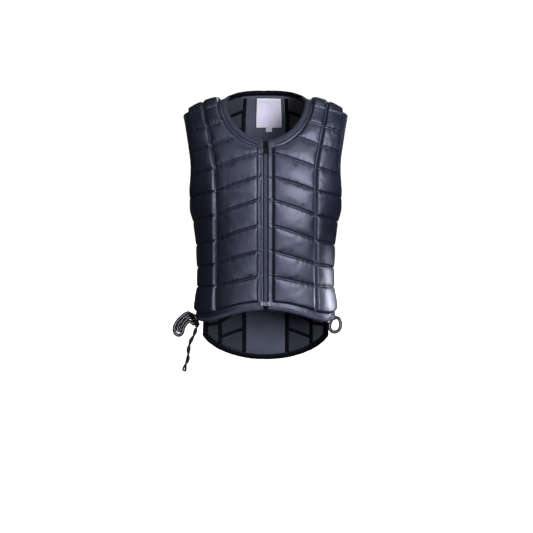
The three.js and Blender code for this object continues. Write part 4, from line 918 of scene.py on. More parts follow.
def braided_cord(base):
    """Braided polyester cord: two sets of strands cross aslant, so the light breaks into a herringbone.
    Strands are about 1.2 mm wide, drawn at 1.7 mm."""
    material, tree, shader = start_material("braided_lace_cord", base, 0.6, ior=1.5, sheen_weight=0.03)
    shader.inputs["Specular Tint"].default_value = (0.72, 0.78, 1.0, 1.0)
    vary_colour(tree, shader, base, 60.0, 0.7, 1.6)
    braid = weave_height(tree, 0.0017, 0.0017, math.radians(45))
    add_bump(tree, shader, 0.5, 0.0006, braid.outputs["Value"])
    return material


def satin_label(base):
    """Woven satin label: smooth, pale and close-threaded, with a lighter sewn edge drawn from its
    own coordinates. Threads are 0.2 mm apart, drawn at 0.9 mm."""
    material, tree, shader = start_material("woven_satin_label", base, 0.5, ior=1.5, sheen_weight=0.15)
    _, _, ramp = vary_colour(tree, shader, base, 25.0, 0.9, 1.08)
    edge = add_node(tree, "ShaderNodeAttribute", {"attribute_name": "label_edge"})
    lighter = add_node(tree, "ShaderNodeMix", {
        "data_type": "RGBA", "in:7": scaled(base, 1.55)}, {
        "0": edge.outputs["Fac"], "6": ramp.outputs["Color"]})
    tree.links.new(lighter.outputs[2], shader.inputs["Base Color"])
    weave = weave_height(tree, 0.0009, 0.0009)
    add_bump(tree, shader, 0.2, 0.0003, weave.outputs["Value"])
    return material


def worn_metal(name, base, metallic, roughness, scratch, **sockets):
    """Cast zip metal: enamelled black or nickel plated, a little rubbed by use, so that its gloss
    varies over a few millimetres."""
    material, tree, shader = start_material(name, base, roughness, metallic=metallic, **sockets)
    place, noise, _ = vary_colour(tree, shader, base, 260.0, 0.8, 1.25)
    rough = add_node(tree, "ShaderNodeMapRange", {
        "in:To Min": roughness * 0.7, "in:To Max": roughness * 1.4}, {"Value": noise.outputs["Fac"]})
    tree.links.new(rough.outputs["Result"], shader.inputs["Roughness"])
    marks = add_node(tree, "ShaderNodeTexNoise", {"in:Scale": 900.0, "in:Detail": 3.0}, {
        "Vector": place.outputs["Object"]})
    add_bump(tree, shader, scratch, 0.0002, marks.outputs["Fac"])
    return material


def seamless_paper(base):
    """Matt seamless studio paper: almost white, with no gloss and a very faint mottle."""
    material, tree, shader = start_material("seamless_studio_paper", base, 0.95)
    shader.inputs["Emission Color"].default_value = base
    shader.inputs["Emission Strength"].default_value = 1.0
    vary_colour(tree, shader, base, 2.0, 0.985, 1.0)
    return material


# The panels

PANEL = {}


def feature_lines(back):
    """The lines that shape a panel: its rims with their bands, its column seams and its rows."""
    levels, curves = back_stations() if back else front_stations()
    outer = curves[-1]
    outer_hem = back_corner_level() if back else -FRONT_LENGTH * HEM_DROP[-1]
    top_shares = [np.linspace(0, 1, 90)] * (3 if back else 2)
    top = back_top(top_shares) if back else front_top(top_shares)
    bottom = back_bottom(top_shares) if back else front_bottom(top_shares)
    tip = surface_point(top[0][-1], top[1][-1])
    arm = surface_point(*outer(np.linspace(levels[0, -1], -ARMHOLE_DEPTH, 160)))
    side = surface_point(*outer(np.linspace(-ARMHOLE_DEPTH, outer_hem, 120)))
    rims = {"arm": (np.vstack([tip, arm]), 9.5), "side": (side, BAND_WIDTH),
            "hem": (surface_point(*bottom), 10.5)}
    top_points = surface_point(*top)
    if back:
        corner = 90 + int(0.7 * 89) + 1
        rims["neck"] = (top_points[:corner], BAND_WIDTH)
        rims["shoulder"] = (top_points[corner:], 1.2)
    else:
        neck = np.linspace(levels[0, 0], -NECK_DROP, 140)
        rims["neck"] = (np.vstack([top_points[:1], surface_point(*front_inner_edge(neck))]), 12.5)
        zip_levels = np.linspace(-NECK_DROP, -FRONT_LENGTH * HEM_DROP[0], 200)
        rims["zip"] = (surface_point(*front_inner_edge(zip_levels)), ZIP_PLACKET)
        rims["shoulder"] = (top_points, 1.2)
    seams = []
    for k in range(1, len(curves) - 1):
        z = np.linspace(levels[0, k], levels[-1, k], 240)
        line = surface_point(*curves[k](z))
        first = surface_point(top[0][90 * k - 1], top[1][90 * k - 1])
        last = surface_point(bottom[0][90 * k - 1], bottom[1][90 * k - 1])
        seams.append(np.vstack([first, line, last]))
    rows = []
    share = np.linspace(0, 1, 60)
    for i, row in enumerate(BACK_ROWS if back else FRONT_ROWS):
        if not row[0]:
            continue
        spans = range(1, 1 + row[0]) if back else range(2)
        for k in spans:
            a = curves[k](np.array(levels[i, k]))
            b = curves[k + 1](np.array(levels[i, k + 1]))
            rows.append(surface_point(*between(a, b, share)))
    return rims, seams, rows


def panel_shape(back):
    """Everything that both meshes of a kind of panel need: its grid, distances and smooth depth."""
    levels, curves = back_stations() if back else front_stations()
    if back:
        turn, run = panel_grid(levels, curves, back_top, back_bottom, (27, 42, 39), 2.0)
    else:
        turn, run = panel_grid(levels, curves, front_top, front_bottom, (60, 42), 1.75)
    surface = surface_point(turn, run)
    normal = outward_normal(turn, run)
    rims, seams, rows = feature_lines(back)
    away = {}
    for key, (line, band) in rims.items():
        away[key] = (distance_to([line], surface), band)
    away["seam"] = (distance_to(seams, surface), COLUMN_HALF)
    away["row"] = (distance_to(rows, surface), ROW_HALF)
    return {"turn": turn, "run": run, "surface": surface, "normal": normal, "away": away}


def block_depth(shape, sizes):
    """Depth below the block tops: pillows that round down into grooves and edge bands."""
    rounding = sizes.rounding / MM
    total = np.zeros_like(shape["run"])
    nearest = np.full_like(total, 1e3)
    row_away, row_band = shape["away"]["row"]
    for key, (away, band) in shape["away"].items():
        nearest = np.minimum(nearest, away - band)
        if key == "row":
            continue
        width = {"seam": rounding * 0.9, "shoulder": rounding * 0.7}.get(key, rounding)
        rest = 1 - np.clip((away - band) / width, 0, 1)
        if key == "seam":
            # The groove between the columns is shallow where it goes over the shoulder.
            rest = rest * (0.6 + 0.4 * np.clip(shape["run"] / 40, 0, 1))
        total += rest ** 3
    wall = np.clip(total, 0, 1) ** (1 / 3)
    deep = BAND_DEPTH * (1 - np.sqrt(np.maximum(0, 1 - wall ** 2)))
    row_wall = 1 - np.clip((row_away - row_band) / (rounding * 0.72), 0, 1)
    # The rows run out towards the sides of the front, where the cloth is pulled flatter.
    to_side = np.clip((shape["turn"] - math.radians(58)) / math.radians(24), 0, 1)
    row_depth = ROW_DEPTH * (1 - 0.55 * to_side * (shape["turn"] < math.radians(100)))
    shallow = row_depth * (1 - np.sqrt(np.maximum(0, 1 - row_wall ** 2)))
    depth = (deep ** 3 + shallow ** 3) ** (1 / 3)
    # The bands along the armholes, sides and hem lie a little prouder than the neck's and the zip's.
    outer = np.min([shape["away"][key][0] for key in ("arm", "side", "hem")], axis=0)
    depth = np.minimum(depth, 8 - OUTER_BAND_RISE * np.exp(-(outer / 9) ** 2))
    # A second ridge runs beside the rolled edge of the neck, and a fold along the zip.
    from_ridge = shape["away"]["neck"][0] - NECK_RIDGE_INSET
    depth = depth - NECK_RIDGE * np.exp(-(from_ridge / 1.9) ** 2) * np.clip(deep / 6, 0, 1)
    if "zip" in shape["away"]:
        depth = np.minimum(depth, 8 - PLACKET_RISE * np.exp(-(shape["away"]["zip"][0] / 15) ** 4))
        depth = depth - ZIP_FOLD * np.exp(-(shape["away"]["zip"][0] / 2.2) ** 2)
    crown = sizes.crown / MM * (1 - np.exp(-np.maximum(0, nearest) / 9))
    full = np.clip(1 - depth / BAND_DEPTH, 0, 1)
    return depth - crown, full, nearest


def gathers(shape, sizes, full, nearest, seed):
    """Puckers across each sewn line and soft wrinkles over the blocks, in millimetres outward."""
    u = shape["turn"] * CLOTH_PER_RADIAN
    v = shape["run"]
    row = shape["away"]["row"][0]
    seam = shape["away"]["seam"][0]
    wander = soft_noise(u, v, 21, 21, seed) * 6
    by_row = soft_noise(u + wander * 0.6, v, 4.2, 26, seed + 1) * np.exp(-np.maximum(0, row - 2.5) / 6.5)
    by_seam = soft_noise(u, v + wander * 0.6, 26, 4.2, seed + 2) * np.exp(-np.maximum(0, seam - 2.5) / 6.5)
    rim = np.min([a for k, (a, b) in shape["away"].items() if k in ("neck", "zip", "arm", "side", "hem")], axis=0)
    by_rim = soft_noise(u, v, 6.5, 6.5, seed + 3) * np.exp(-rim / 9)
    pucker = sizes.pucker / MM * (by_row + by_seam) * full + 0.35 * by_rim
    if "zip" in shape["away"]:
        # Short crossed tucks on the placket, where each groove runs out beside the zip.
        zip_away = shape["away"]["zip"][0]
        inside = np.exp(-((zip_away - 7) / 4.5) ** 2) * np.exp(-(row / 7.5) ** 2)
        tuck = soft_noise(u + v, v - u, 3.4, 11, seed + 8) + soft_noise(u - v, v + u, 3.4, 11, seed + 9)
        pucker = pucker + TUCK_HEIGHT * tuck * inside
    wide = soft_noise(u, v, 23, 15, seed + 4) + 0.6 * soft_noise(u + v, v - u, 15, 30, seed + 5)
    return pucker + sizes.wrinkle / MM * wide * full


def swollen(shape, depth, sizes, name, seed):
    """Swells the cloth between its sewn lines by simulation on every third row and column of the grid,
    and gives each grid point's movement outward in millimetres."""
    rows, columns = depth.shape
    pick_i = np.unique(np.append(np.arange(0, rows, 3), rows - 1))
    pick_j = np.unique(np.append(np.arange(0, columns, 3), columns - 1))
    surface = shape["surface"][np.ix_(pick_i, pick_j)]
    normal = shape["normal"][np.ix_(pick_i, pick_j)]
    coarse_depth = depth[np.ix_(pick_i, pick_j)]
    start = surface - normal * (coarse_depth + 0.4)[..., None]
    nearest = np.min([a - b for a, b in shape["away"].values()], axis=0)[np.ix_(pick_i, pick_j)]
    obj = make_object(name, start.reshape(-1, 3), grid_faces(len(pick_i), len(pick_j)))
    held = obj.vertex_groups.new(name="sewn")
    weights = np.clip(1 - (nearest - 0.5) / 3.5, 0, 1).ravel()
    for i, weight in enumerate(weights):
        if weight > 0:
            held.add([i], float(weight), "REPLACE")
    cloth = obj.modifiers.new("swell", "CLOTH")
    settings = cloth.settings
    settings.quality = 4
    settings.mass = 0.15
    settings.tension_stiffness = 20
    settings.compression_stiffness = 20
    settings.shear_stiffness = 4
    settings.bending_stiffness = 4.0
    settings.use_pressure = True
    settings.uniform_pressure_force = sizes.pressure
    settings.vertex_group_mass = "sewn"
    settings.shrink_min = -0.004
    settings.effector_weights.gravity = 0
    cloth.point_cache.frame_start = 1
    cloth.point_cache.frame_end = 20
    for number in range(1, 21):
        bpy.context.scene.frame_set(number)
    graph = bpy.context.evaluated_depsgraph_get()
    result = obj.evaluated_get(graph)
    moved = np.empty(len(result.data.vertices) * 3)
    result.data.vertices.foreach_get("co", moved)
    moved = moved.reshape(surface.shape) / MM
    bpy.context.scene.frame_set(1)
    bpy.data.objects.remove(obj, do_unlink=True)
    outward = np.sum((moved - start) * normal, axis=-1)
    limit = sizes.swell / MM
    outward = np.clip(outward, -limit, limit)
    finer = np.stack([np.interp(np.arange(columns), pick_j, line) for line in outward])
    finer = np.stack([np.interp(np.arange(rows), pick_i, finer[:, j]) for j in range(columns)], -1)
    for _ in range(2):
        padded = np.pad(finer, 1, mode="edge")
        finer = (padded[:-2, 1:-1] + padded[2:, 1:-1] + padded[1:-1, :-2] + padded[1:-1, 2:]
                 + 4 * padded[1:-1, 1:-1]) / 8
    return finer


def build_panel(name, shape, depth, materials, side, stride=3):
    """A closed padded shell from a depth grid: outside, rim wall and lining."""
    surface = shape["surface"] * np.array([side, 1, 1])
    normal = shape["normal"] * np.array([side, 1, 1])
    outer = surface - normal * depth[..., None]
    rows, columns = depth.shape
    seam = shape["away"]["seam"][0]
    valley = LINING_VALLEY * np.exp(-(seam / 3.6) ** 2)
    if shape.get("back_rows"):
        valley = np.maximum(valley, LINING_VALLEY * np.exp(-(shape["away"]["row"][0] / 3.6) ** 2))
    rim_away = np.min([shape["away"][k][0] - (0 if k == "shoulder" else 3) for k in shape["away"]
                       if k not in ("seam", "row")], axis=0)
    ease = np.clip(rim_away / 8, 0, 1)
    ease = ease * ease * (3 - 2 * ease)
    low = BAND_DEPTH + BAND_THICKNESS
    inner_depth = low + (PAD_THICKNESS - low) * ease - valley * ease
    inner_all = surface - normal * inner_depth[..., None]
    pick_i = np.unique(np.append(np.arange(0, rows, stride), rows - 1))
    pick_j = np.unique(np.append(np.arange(0, columns, stride), columns - 1))
    inner = inner_all[np.ix_(pick_i, pick_j)]
    flip = side < 0 or shape.get("seen_from_behind", False)
    count = rows * columns
    faces = grid_faces(rows, columns, 0, flip).tolist()
    slots = [0] * len(faces)
    lining = grid_faces(len(pick_i), len(pick_j), count, not flip).tolist()
    faces += lining
    middle = np.abs(inner[:-1, :-1, 0] + inner[1:, 1:, 0]) / 2 < SPINE_HALF_WIDTH
    slots += np.where(middle & bool(shape.get("back_rows")), 1, 2).ravel().tolist()
    wide = len(pick_j)
    inner_id = lambda a, b: count + a * wide + b
    top = strip_faces([(j, j) for j in range(columns)], [(inner_id(0, b), j) for b, j in enumerate(pick_j)], flip)
    base = (rows - 1) * columns
    foot = strip_faces([(base + j, j) for j in range(columns)],
                       [(inner_id(len(pick_i) - 1, b), j) for b, j in enumerate(pick_j)], not flip)
    left = strip_faces([(i * columns, i) for i in range(rows)],
                       [(inner_id(a, 0), i) for a, i in enumerate(pick_i)], not flip)
    right = strip_faces([(i * columns + columns - 1, i) for i in range(rows)],
                        [(inner_id(a, wide - 1), i) for a, i in enumerate(pick_i)], flip)
    for group in (top, foot, left, right):
        faces += group
        slots += [0] * len(group)
    vertices = np.concatenate([outer.reshape(-1, 3), inner.reshape(-1, 3)])
    uv = np.stack([shape["turn"] * CLOTH_PER_RADIAN * side, shape["run"]], -1) * MM
    uvs = np.concatenate([uv.reshape(-1, 2), uv[np.ix_(pick_i, pick_j)].reshape(-1, 2)])
    obj = make_object(name + "_cloth", vertices, faces, uvs, slots)
    finish_piece(obj, [name], materials=materials)
    return obj


def mirrored_shape(shape):
    """The whole back from its right half, with the mirror half before it in each row."""
    whole = {"seen_from_behind": True, "back_rows": True, "away": {}}

    def both(grid):
        return np.concatenate([grid[:, :0:-1], grid], axis=1)

    whole["turn"] = both(shape["turn"])
    left = shape["turn"].shape[1] - 1
    whole["turn"][:, :left] = 2 * math.pi - whole["turn"][:, :left]
    whole["run"] = both(shape["run"])
    flip = np.array([-1, 1, 1])
    for key in ("surface", "normal"):
        whole[key] = np.concatenate([shape[key][:, :0:-1] * flip, shape[key]], axis=1)
    for key, (away, band) in shape["away"].items():
        whole["away"][key] = (both(away), band)
    return whole


class VEST_OT_stage(bpy.types.Operator):
    """Pale paper floor and backdrop, soft lights, and the camera at the photograph's angle"""

    bl_idname = "vest.stage"
    bl_label = "Stage, lights and camera"

    def execute(self, context):
        scene = context.scene
        colours = scene.vest_colours
        camera_data = bpy.data.cameras.new("camera")
        camera_data.lens = 70.2
        camera_data.sensor_width = 36
        camera_data.shift_x = 0.0017
        camera_data.clip_end = 50
        camera = bpy.data.objects.new("camera", camera_data)
        scene.collection.objects.link(camera)
        camera.location = (0, -2.3909, -0.1828)
        aim = Vector((0, 0, -0.392)) - camera.location
        camera.rotation_euler = aim.to_track_quat("-Z", "Y").to_euler()
        scene.camera = camera
        scene.view_settings.view_transform = "Standard"

        # The paper is a wide round floor that curves up into a wall all the way round.
        profile = [(0.0, 0.0), (1.5, 0.0), (3.6, 0.0)]
        profile += [(3.6 + 1.4 * math.sin(a), 1.4 - 1.4 * math.cos(a)) for a in np.linspace(0.12, QUARTER, 14)]
        profile += [(5.0, 6.0)]
        turns = np.linspace(0, 2 * math.pi, 73)
        low = CAD_BOX[0][2] - 0.012
        vertices = [(r * math.sin(a) * 1000, r * math.cos(a) * 1000, (z + low) * 1000) for r, z in profile for a in turns]
        paper = make_object("paper_bowl", vertices, grid_faces(len(profile), len(turns)))
        paper.data.materials.append(seamless_paper(tuple(colours.paper)))
        paper.visible_glossy = False
        paper.visible_diffuse = False

        world = bpy.data.worlds.new("studio")
        world.use_nodes = True
        world.node_tree.nodes["Background"].inputs["Color"].default_value = (1, 1, 1, 1)
        world.node_tree.nodes["Background"].inputs["Strength"].default_value = 0.05
        scene.world = world

        lights = [
            ("key", (1.0, -1.95, 0.08), (0.06, 0, -0.24), 0.6, 0.9, 46, 180),
            ("rim", (1.3, 0.3, -0.5), (0.175, -0.03, -0.46), 0.25, 0.1, 0.11, 10),
            ("fill", (-0.6, -2.6, 0.7), (0, 0, -0.25), 1.4, 1.0, 13, 180),
            ("top", (0.3, -0.3, 1.5), (0, 0.0, -0.1), 1.2, 0.9, 9, 180),
            ("low", (-0.2, -1.9, -1.1), (0, 0.0, -0.50), 1.4, 0.5, 11, 180),
            ("behind", (0.5, 2.4, 0.4), (0, 0.1, -0.3), 1.4, 1.2, 30, 180),
        ]
        for name, place, towards, width, height, power, spread in lights:
            data = bpy.data.lights.new(name, "AREA")
            data.shape = "RECTANGLE"
            data.size = width
            data.size_y = height
            data.energy = power
            data.spread = math.radians(spread)
            light = bpy.data.objects.new(name, data)
            light.location = place
            light.rotation_euler = (Vector(towards) - Vector(place)).to_track_quat("-Z", "Y").to_euler()
            scene.collection.objects.link(light)
        return {"FINISHED"}


class VEST_OT_lace_ends(bpy.types.Operator):
    """Knots, bows and hanging ends of the lace at each hip"""

    bl_idname = "vest.lace_ends"
    bl_label = "Lace knots, bows and ends"

    def execute(self, context):
        material = braided_cord(tuple(context.scene.vest_colours.lace))
        PANEL["cord"] = material
        for side, place in (("left", LEFT_KNOT), ("right", RIGHT_KNOT)):
            t = np.linspace(0, 2 * math.pi, 91)
            scale = 1.86
            path = np.stack([
                scale * (np.sin(t) + 2 * np.sin(2 * t)),
                -scale * 1.25 * np.sin(3 * t),
                scale * (np.cos(t) - 2 * np.cos(2 * t)),
            ], -1) + np.array(place)
            knot = make_object("knot_" + side, *tube(path, LACE / 2, 12))
            finish_piece(knot, ["lace_knot_" + side], materials=[material])
        cords = [
            ("lace_bow_left_outer", LEFT_OUTER_BOW, "object", "loose"),
            ("lace_bow_left_inner", LEFT_INNER_BOW, "object", "loose"),
            ("lace_bow_right", RIGHT_BOW, "object", "loose"),
            ("lace_end_right", RIGHT_END, "bare", "hanging"),
        ]
        for name, points, far_end, lay in cords:
            path = smooth_line(dense(catmull(points, 5), 2.5), 5)
            if far_end == "object":
                # The lace is tied double, so each loop is two cords side by side.
                beside = unit(np.cross(path_frames(path)[0], np.array([0.0, 1.0, 0.0])))
                pair = [tube(path + beside * shift, BOW_STRAND_RADIUS, 12)
                        for shift in (-BOW_STRAND_SHIFT, BOW_STRAND_SHIFT)]
                cord = make_object(name + "_cord", *merge(pair))
            else:
                radius = np.full(len(path), LACE / 2)
                radius[-6:] = LACE / 2 * np.array([0.92, 0.88, 1.0, 1.04, 0.96, 0.7])
                cord = make_object(name + "_cord", *tube(path, radius, 14))
            finish_piece(cord, [name], materials=[material])
        self.twisted_end(material)
        return {"FINISHED"}

    def twisted_end(self, material):
        """The left end is the two strands twisted together, which part near their tips."""
        path = catmull(LEFT_END, 7)
        lengths = np.concatenate([[0], np.cumsum(np.linalg.norm(np.diff(path, axis=0), axis=1))])
        total = lengths[-1]
        open_share = np.clip((lengths - (total - 22)) / 22, 0, 1)
        parts = []
        for phase in (0, math.pi):
            radius = np.full(len(path), TWISTED_STRAND_RADIUS)
            radius[-4:] = (2.3, 2.5, 2.7, 2.2)
            parts.append(tube(path, radius, 12, TWISTED_STRAND_OFFSET, 1 / TWIST_PITCH, phase, spread=open_share ** 1.5 * 1.1))
        cord = make_object("lace_end_left_cord", *merge(parts))
        finish_piece(cord, ["lace_end_left"], materials=[material])


class VEST_OT_front_panels(bpy.types.Operator):
    """Both padded front panels with their lining"""

    bl_idname = "vest.front_panels"
    bl_label = "Front panels"

    def execute(self, context):
        sizes = context.scene.vest_sizes
        colours = context.scene.vest_colours
        nylon = satin_nylon(tuple(colours.nylon))
        lining = knitted_mesh("knitted_mesh_spine_lining", tuple(colours.lining))
        side_lining = knitted_mesh("knitted_mesh_side_lining", scaled(tuple(colours.lining), 0.33))
        PANEL["cloths"] = [nylon, lining, side_lining]
        shape = panel_shape(False)
        PANEL["front"] = shape
        depth, full, nearest = block_depth(shape, sizes)
        for name, side, seed in (("front_panel_right", 1, 11), ("front_panel_left", -1, 47)):
            own = depth - gathers(shape, sizes, full, nearest, seed)
            own = own - swollen(shape, own, sizes, name + "_swell", seed)
            PANEL[name] = own
            build_panel(name, shape, own, PANEL["cloths"], side)
        return {"FINISHED"}


class VEST_OT_back_panel(bpy.types.Operator):
    """The padded back panel with its lining"""

    bl_idname = "vest.back_panel"
    bl_label = "Back panel"

    def execute(self, context):
        sizes = context.scene.vest_sizes
        half = panel_shape(True)
        PANEL["back_half"] = half
        shape = mirrored_shape(half)
        depth, full, nearest = block_depth(shape, sizes)
        own = depth - gathers(shape, sizes, full, nearest, 83)
        own = own - swollen(shape, own, sizes, "back_panel_swell", 83)
        PANEL["back_panel"] = own
        build_panel("back_panel", shape, own, PANEL["cloths"], 1)
        return {"FINISHED"}


def rim_line(turn, run, side=1):
    """The middle of a rim, its outward surface normal and the direction along it."""
    middle = shell_point(turn, run, np.full(np.shape(turn), BAND_DEPTH + BAND_THICKNESS / 2))
    normal = outward_normal(turn, run)
    flip = np.array([side, 1, 1])
    return middle * flip, normal * flip


def even(points, normals, spacing):
    lengths = np.concatenate([[0], np.cumsum(np.linalg.norm(np.diff(points, axis=0), axis=1))])
    at = np.linspace(0, lengths[-1], max(2, int(lengths[-1] / spacing) + 1))
    resample = lambda a: np.stack([np.interp(at, lengths, a[:, k]) for k in range(3)], -1)
    return resample(points), unit(resample(normals))


def smooth_line(points, times):
    out = points.copy()
    for _ in range(times):
        out[1:-1] = (out[:-2] + 2 * out[1:-1] + out[2:]) / 4
    return out


BINDING_SECTION = [
    (-5.2, 2.55), (-4.6, 3.1), (-2.0, 3.45), (1.0, 3.75), (3.6, 3.3), (5.5, 2.1), (6.3, 0.2), (5.6, -1.8),
    (3.8, -3.2), (1.0, -3.7), (-2.0, -3.4), (-4.6, -3.0), (-5.2, -2.4), (-4.7, -2.1), (0.2, -2.3), (0.9, 0), (0.2, 2.3), (-4.7, 2.2),
]


def binding(points, normals, inside, seed, fuller):
    """A rolled tape round an edge; its line of stitches is made apart. inside gives a point that the panel's
    side of the edge lies towards."""
    points, normals = even(points, normals, 2.2)
    points = smooth_line(points, 2)
    normals = unit(smooth_line(normals, 6))
    along = unit(np.gradient(points, axis=0))
    out = unit(np.cross(along, normals))
    if inside < 0:
        out = -out
    up = unit(np.cross(out, along)) * (1 if inside < 0 else -1)
    up = np.where(np.sum(up * normals, -1, keepdims=True) < 0, -up, up)
    section = [(max(reach, reach * fuller), rise * (1 + (fuller - 1) * 0.5)) for reach, rise in BINDING_SECTION]
    part = swept(points, out, up, section)
    vertices, faces, uvs = part
    k = len(BINDING_SECTION)
    s = np.repeat(np.arange(len(points)) * 2.2, k)
    ring = np.tile(np.arange(k), len(points))
    lump = soft_noise(s, ring * 3.0, 7.0, 9.0, seed) * 0.28 + soft_noise(s, ring * 0.0, 3.1, 9.0, seed + 1) * 0.12
    outer_ring = ring < 13
    direction = unit(vertices - np.repeat(points, k, axis=0))
    vertices = vertices + direction * (lump * outer_ring)[:, None]
    if inside > 0:
        faces = [tuple(f)[::-1] for f in faces]
    sewn = [(vertices, faces, uvs)]
    return sewn, points, out, up


def binding_stitches(points, out, up, sizes, fuller):
    height = 3.2 * (1 + (fuller - 1) * 0.5)
    line = points - out * 3.4 + up * height
    under = points - out * 3.4 - up * height
    top = stitches(line, up, sizes.stitch / MM, sizes.stitch_pitch / MM, 0.38)
    low = stitches(under, -up, sizes.stitch / MM, sizes.stitch_pitch / MM, 0.38)
    return merge([top, low])


class VEST_OT_bindings(bpy.types.Operator):
    """Rolled edge bindings with their stitching"""

    bl_idname = "vest.bindings"
    bl_label = "Edge bindings"

    def execute(self, context):
        sizes = context.scene.vest_sizes
        tape = ribbed_tape("grosgrain_binding_tape", tuple(context.scene.vest_colours.binding), 0.0016)
        edge_tape = ribbed_tape("grosgrain_edge_tape", colour(EDGE_TAPE_COLOUR), 0.0016)
        thread = ribbed_tape("bonded_sewing_thread", scaled(tuple(context.scene.vest_colours.binding), 1.8), 0.001, 0.5)
        PANEL["black_tape"] = ribbed_tape("black_grosgrain_tape", colour(BLACK_TAPE_COLOUR), 0.0014, 0.62, 0.0, 0.12)
        share = np.linspace(0, 1, 160)
        corner = -ARMHOLE_DEPTH
        front_levels, _ = front_stations()
        back_levels, _ = back_stations()

        # Neck: from the zip up one side, round the nape and down the other.
        neck = np.linspace(-NECK_DROP, -NECK_POINT_DROP - 1.0, 160)
        front_turn, front_run = front_inner_edge(neck)
        right, right_normal = rim_line(front_turn, front_run)
        nape_turn, nape_run = nape_point(np.linspace(NECK_HALF_WIDTH - 1.2, 0, 90))
        nape, nape_normal = rim_line(nape_turn, nape_run)
        half = np.vstack([right, nape])
        half_normal = np.vstack([right_normal, nape_normal])
        flip = np.array([-1, 1, 1])
        points = np.vstack([half, (half * flip)[-2::-1]])
        normals = np.vstack([half_normal, (half_normal * flip)[-2::-1]])
        self.add("neck_binding", points, normals, -1, sizes, tape, thread, 5)

        # Armholes: from the armpit up the front, over the shoulder and down the back.
        tip_front = turn_at(SHOULDER_TIP, shoulder_crest(SHOULDER_TIP), False)
        tip_back = turn_at(SHOULDER_TIP, shoulder_crest(SHOULDER_TIP), True)
        for side, label in ((1, "right"), (-1, "left")):
            up_turn, up_run = outer_edge(np.linspace(corner, front_levels[0, -1], 130), False)
            down_turn, down_run = outer_edge(np.linspace(back_levels[0, -1], corner, 130), True)
            up_turn = np.append(up_turn, tip_front)
            up_run = np.append(up_run, 2.0)
            down_turn = np.insert(down_turn, 0, tip_back)
            down_run = np.insert(down_run, 0, 2.0)
            front, front_normal = rim_line(up_turn, up_run, side)
            rear, rear_normal = rim_line(down_turn, down_run, side)
            points = np.vstack([front, rear])
            normals = np.vstack([front_normal, rear_normal])
            self.add("armhole_binding_" + label, points, normals, side, sizes, edge_tape, thread, 21 + side)

            # Side and hem of a front panel, down the side and in to the zip.
            side_turn, side_run = outer_edge(np.linspace(corner, front_hem_level(np.array(FRONT_SIDE_TURN)), 110), False)
            start = front_inner_edge(np.array(-FRONT_LENGTH * HEM_DROP[0]))[0]
            hem_turn = np.linspace(FRONT_SIDE_TURN, start, 150)[1:]
            hem_run = run_at(hem_turn, front_hem_level(hem_turn))
            points, normals = rim_line(np.append(side_turn, hem_turn), np.append(side_run, hem_run), side)
            self.add("front_hem_binding_" + label, points, normals, -side, sizes, edge_tape, thread, 31 + side)

        # Sides and tail of the back.
        side_turn, side_run = outer_edge(np.linspace(corner, back_corner_level(), 110), True)
        hem_turn = np.linspace(BACK_SIDE_TURN, math.pi, 170)[1:]
        across = np.abs(surface_point(hem_turn, run_at(hem_turn, -BACK_LENGTH * 0.95))[..., 0])
        hem_run = run_at(hem_turn, back_hem_level(across))
        half, half_normal = rim_line(np.append(side_turn, hem_turn), np.append(side_run, hem_run))
        points = np.vstack([half, (half * flip)[-2::-1]])
        normals = np.vstack([half_normal, (half_normal * flip)[-2::-1]])
        self.add("back_hem_binding", points, normals, 1, sizes, tape, thread, 61)
        return {"FINISHED"}

    def add(self, node, points, normals, inside, sizes, tape, thread, seed):
        fuller = 1.15 if node == "neck_binding" else 1.35
        parts, line, out, up = binding(points, normals, inside, seed, fuller)
        vertices, faces, uvs = merge(parts)
        at_back = [vertices[face[0]][1] > 8 and node in ("neck_binding", "back_hem_binding") for face in faces]
        obj = make_object(node + "_tape", vertices, faces, uvs, np.array(at_back, int))
        finish_piece(obj, [node], materials=[tape, PANEL["black_tape"]])
        sewn = make_object(node + "_stitches", *binding_stitches(line, out, up, sizes, fuller))
        finish_piece(sewn, materials=[thread])


def zip_place(level, across, depth):
    run = run_at(np.zeros_like(level), level)
    point = shell_point(np.zeros_like(level), run, np.full_like(level, depth))
    return point + np.array([1.0, 0, 0]) * across


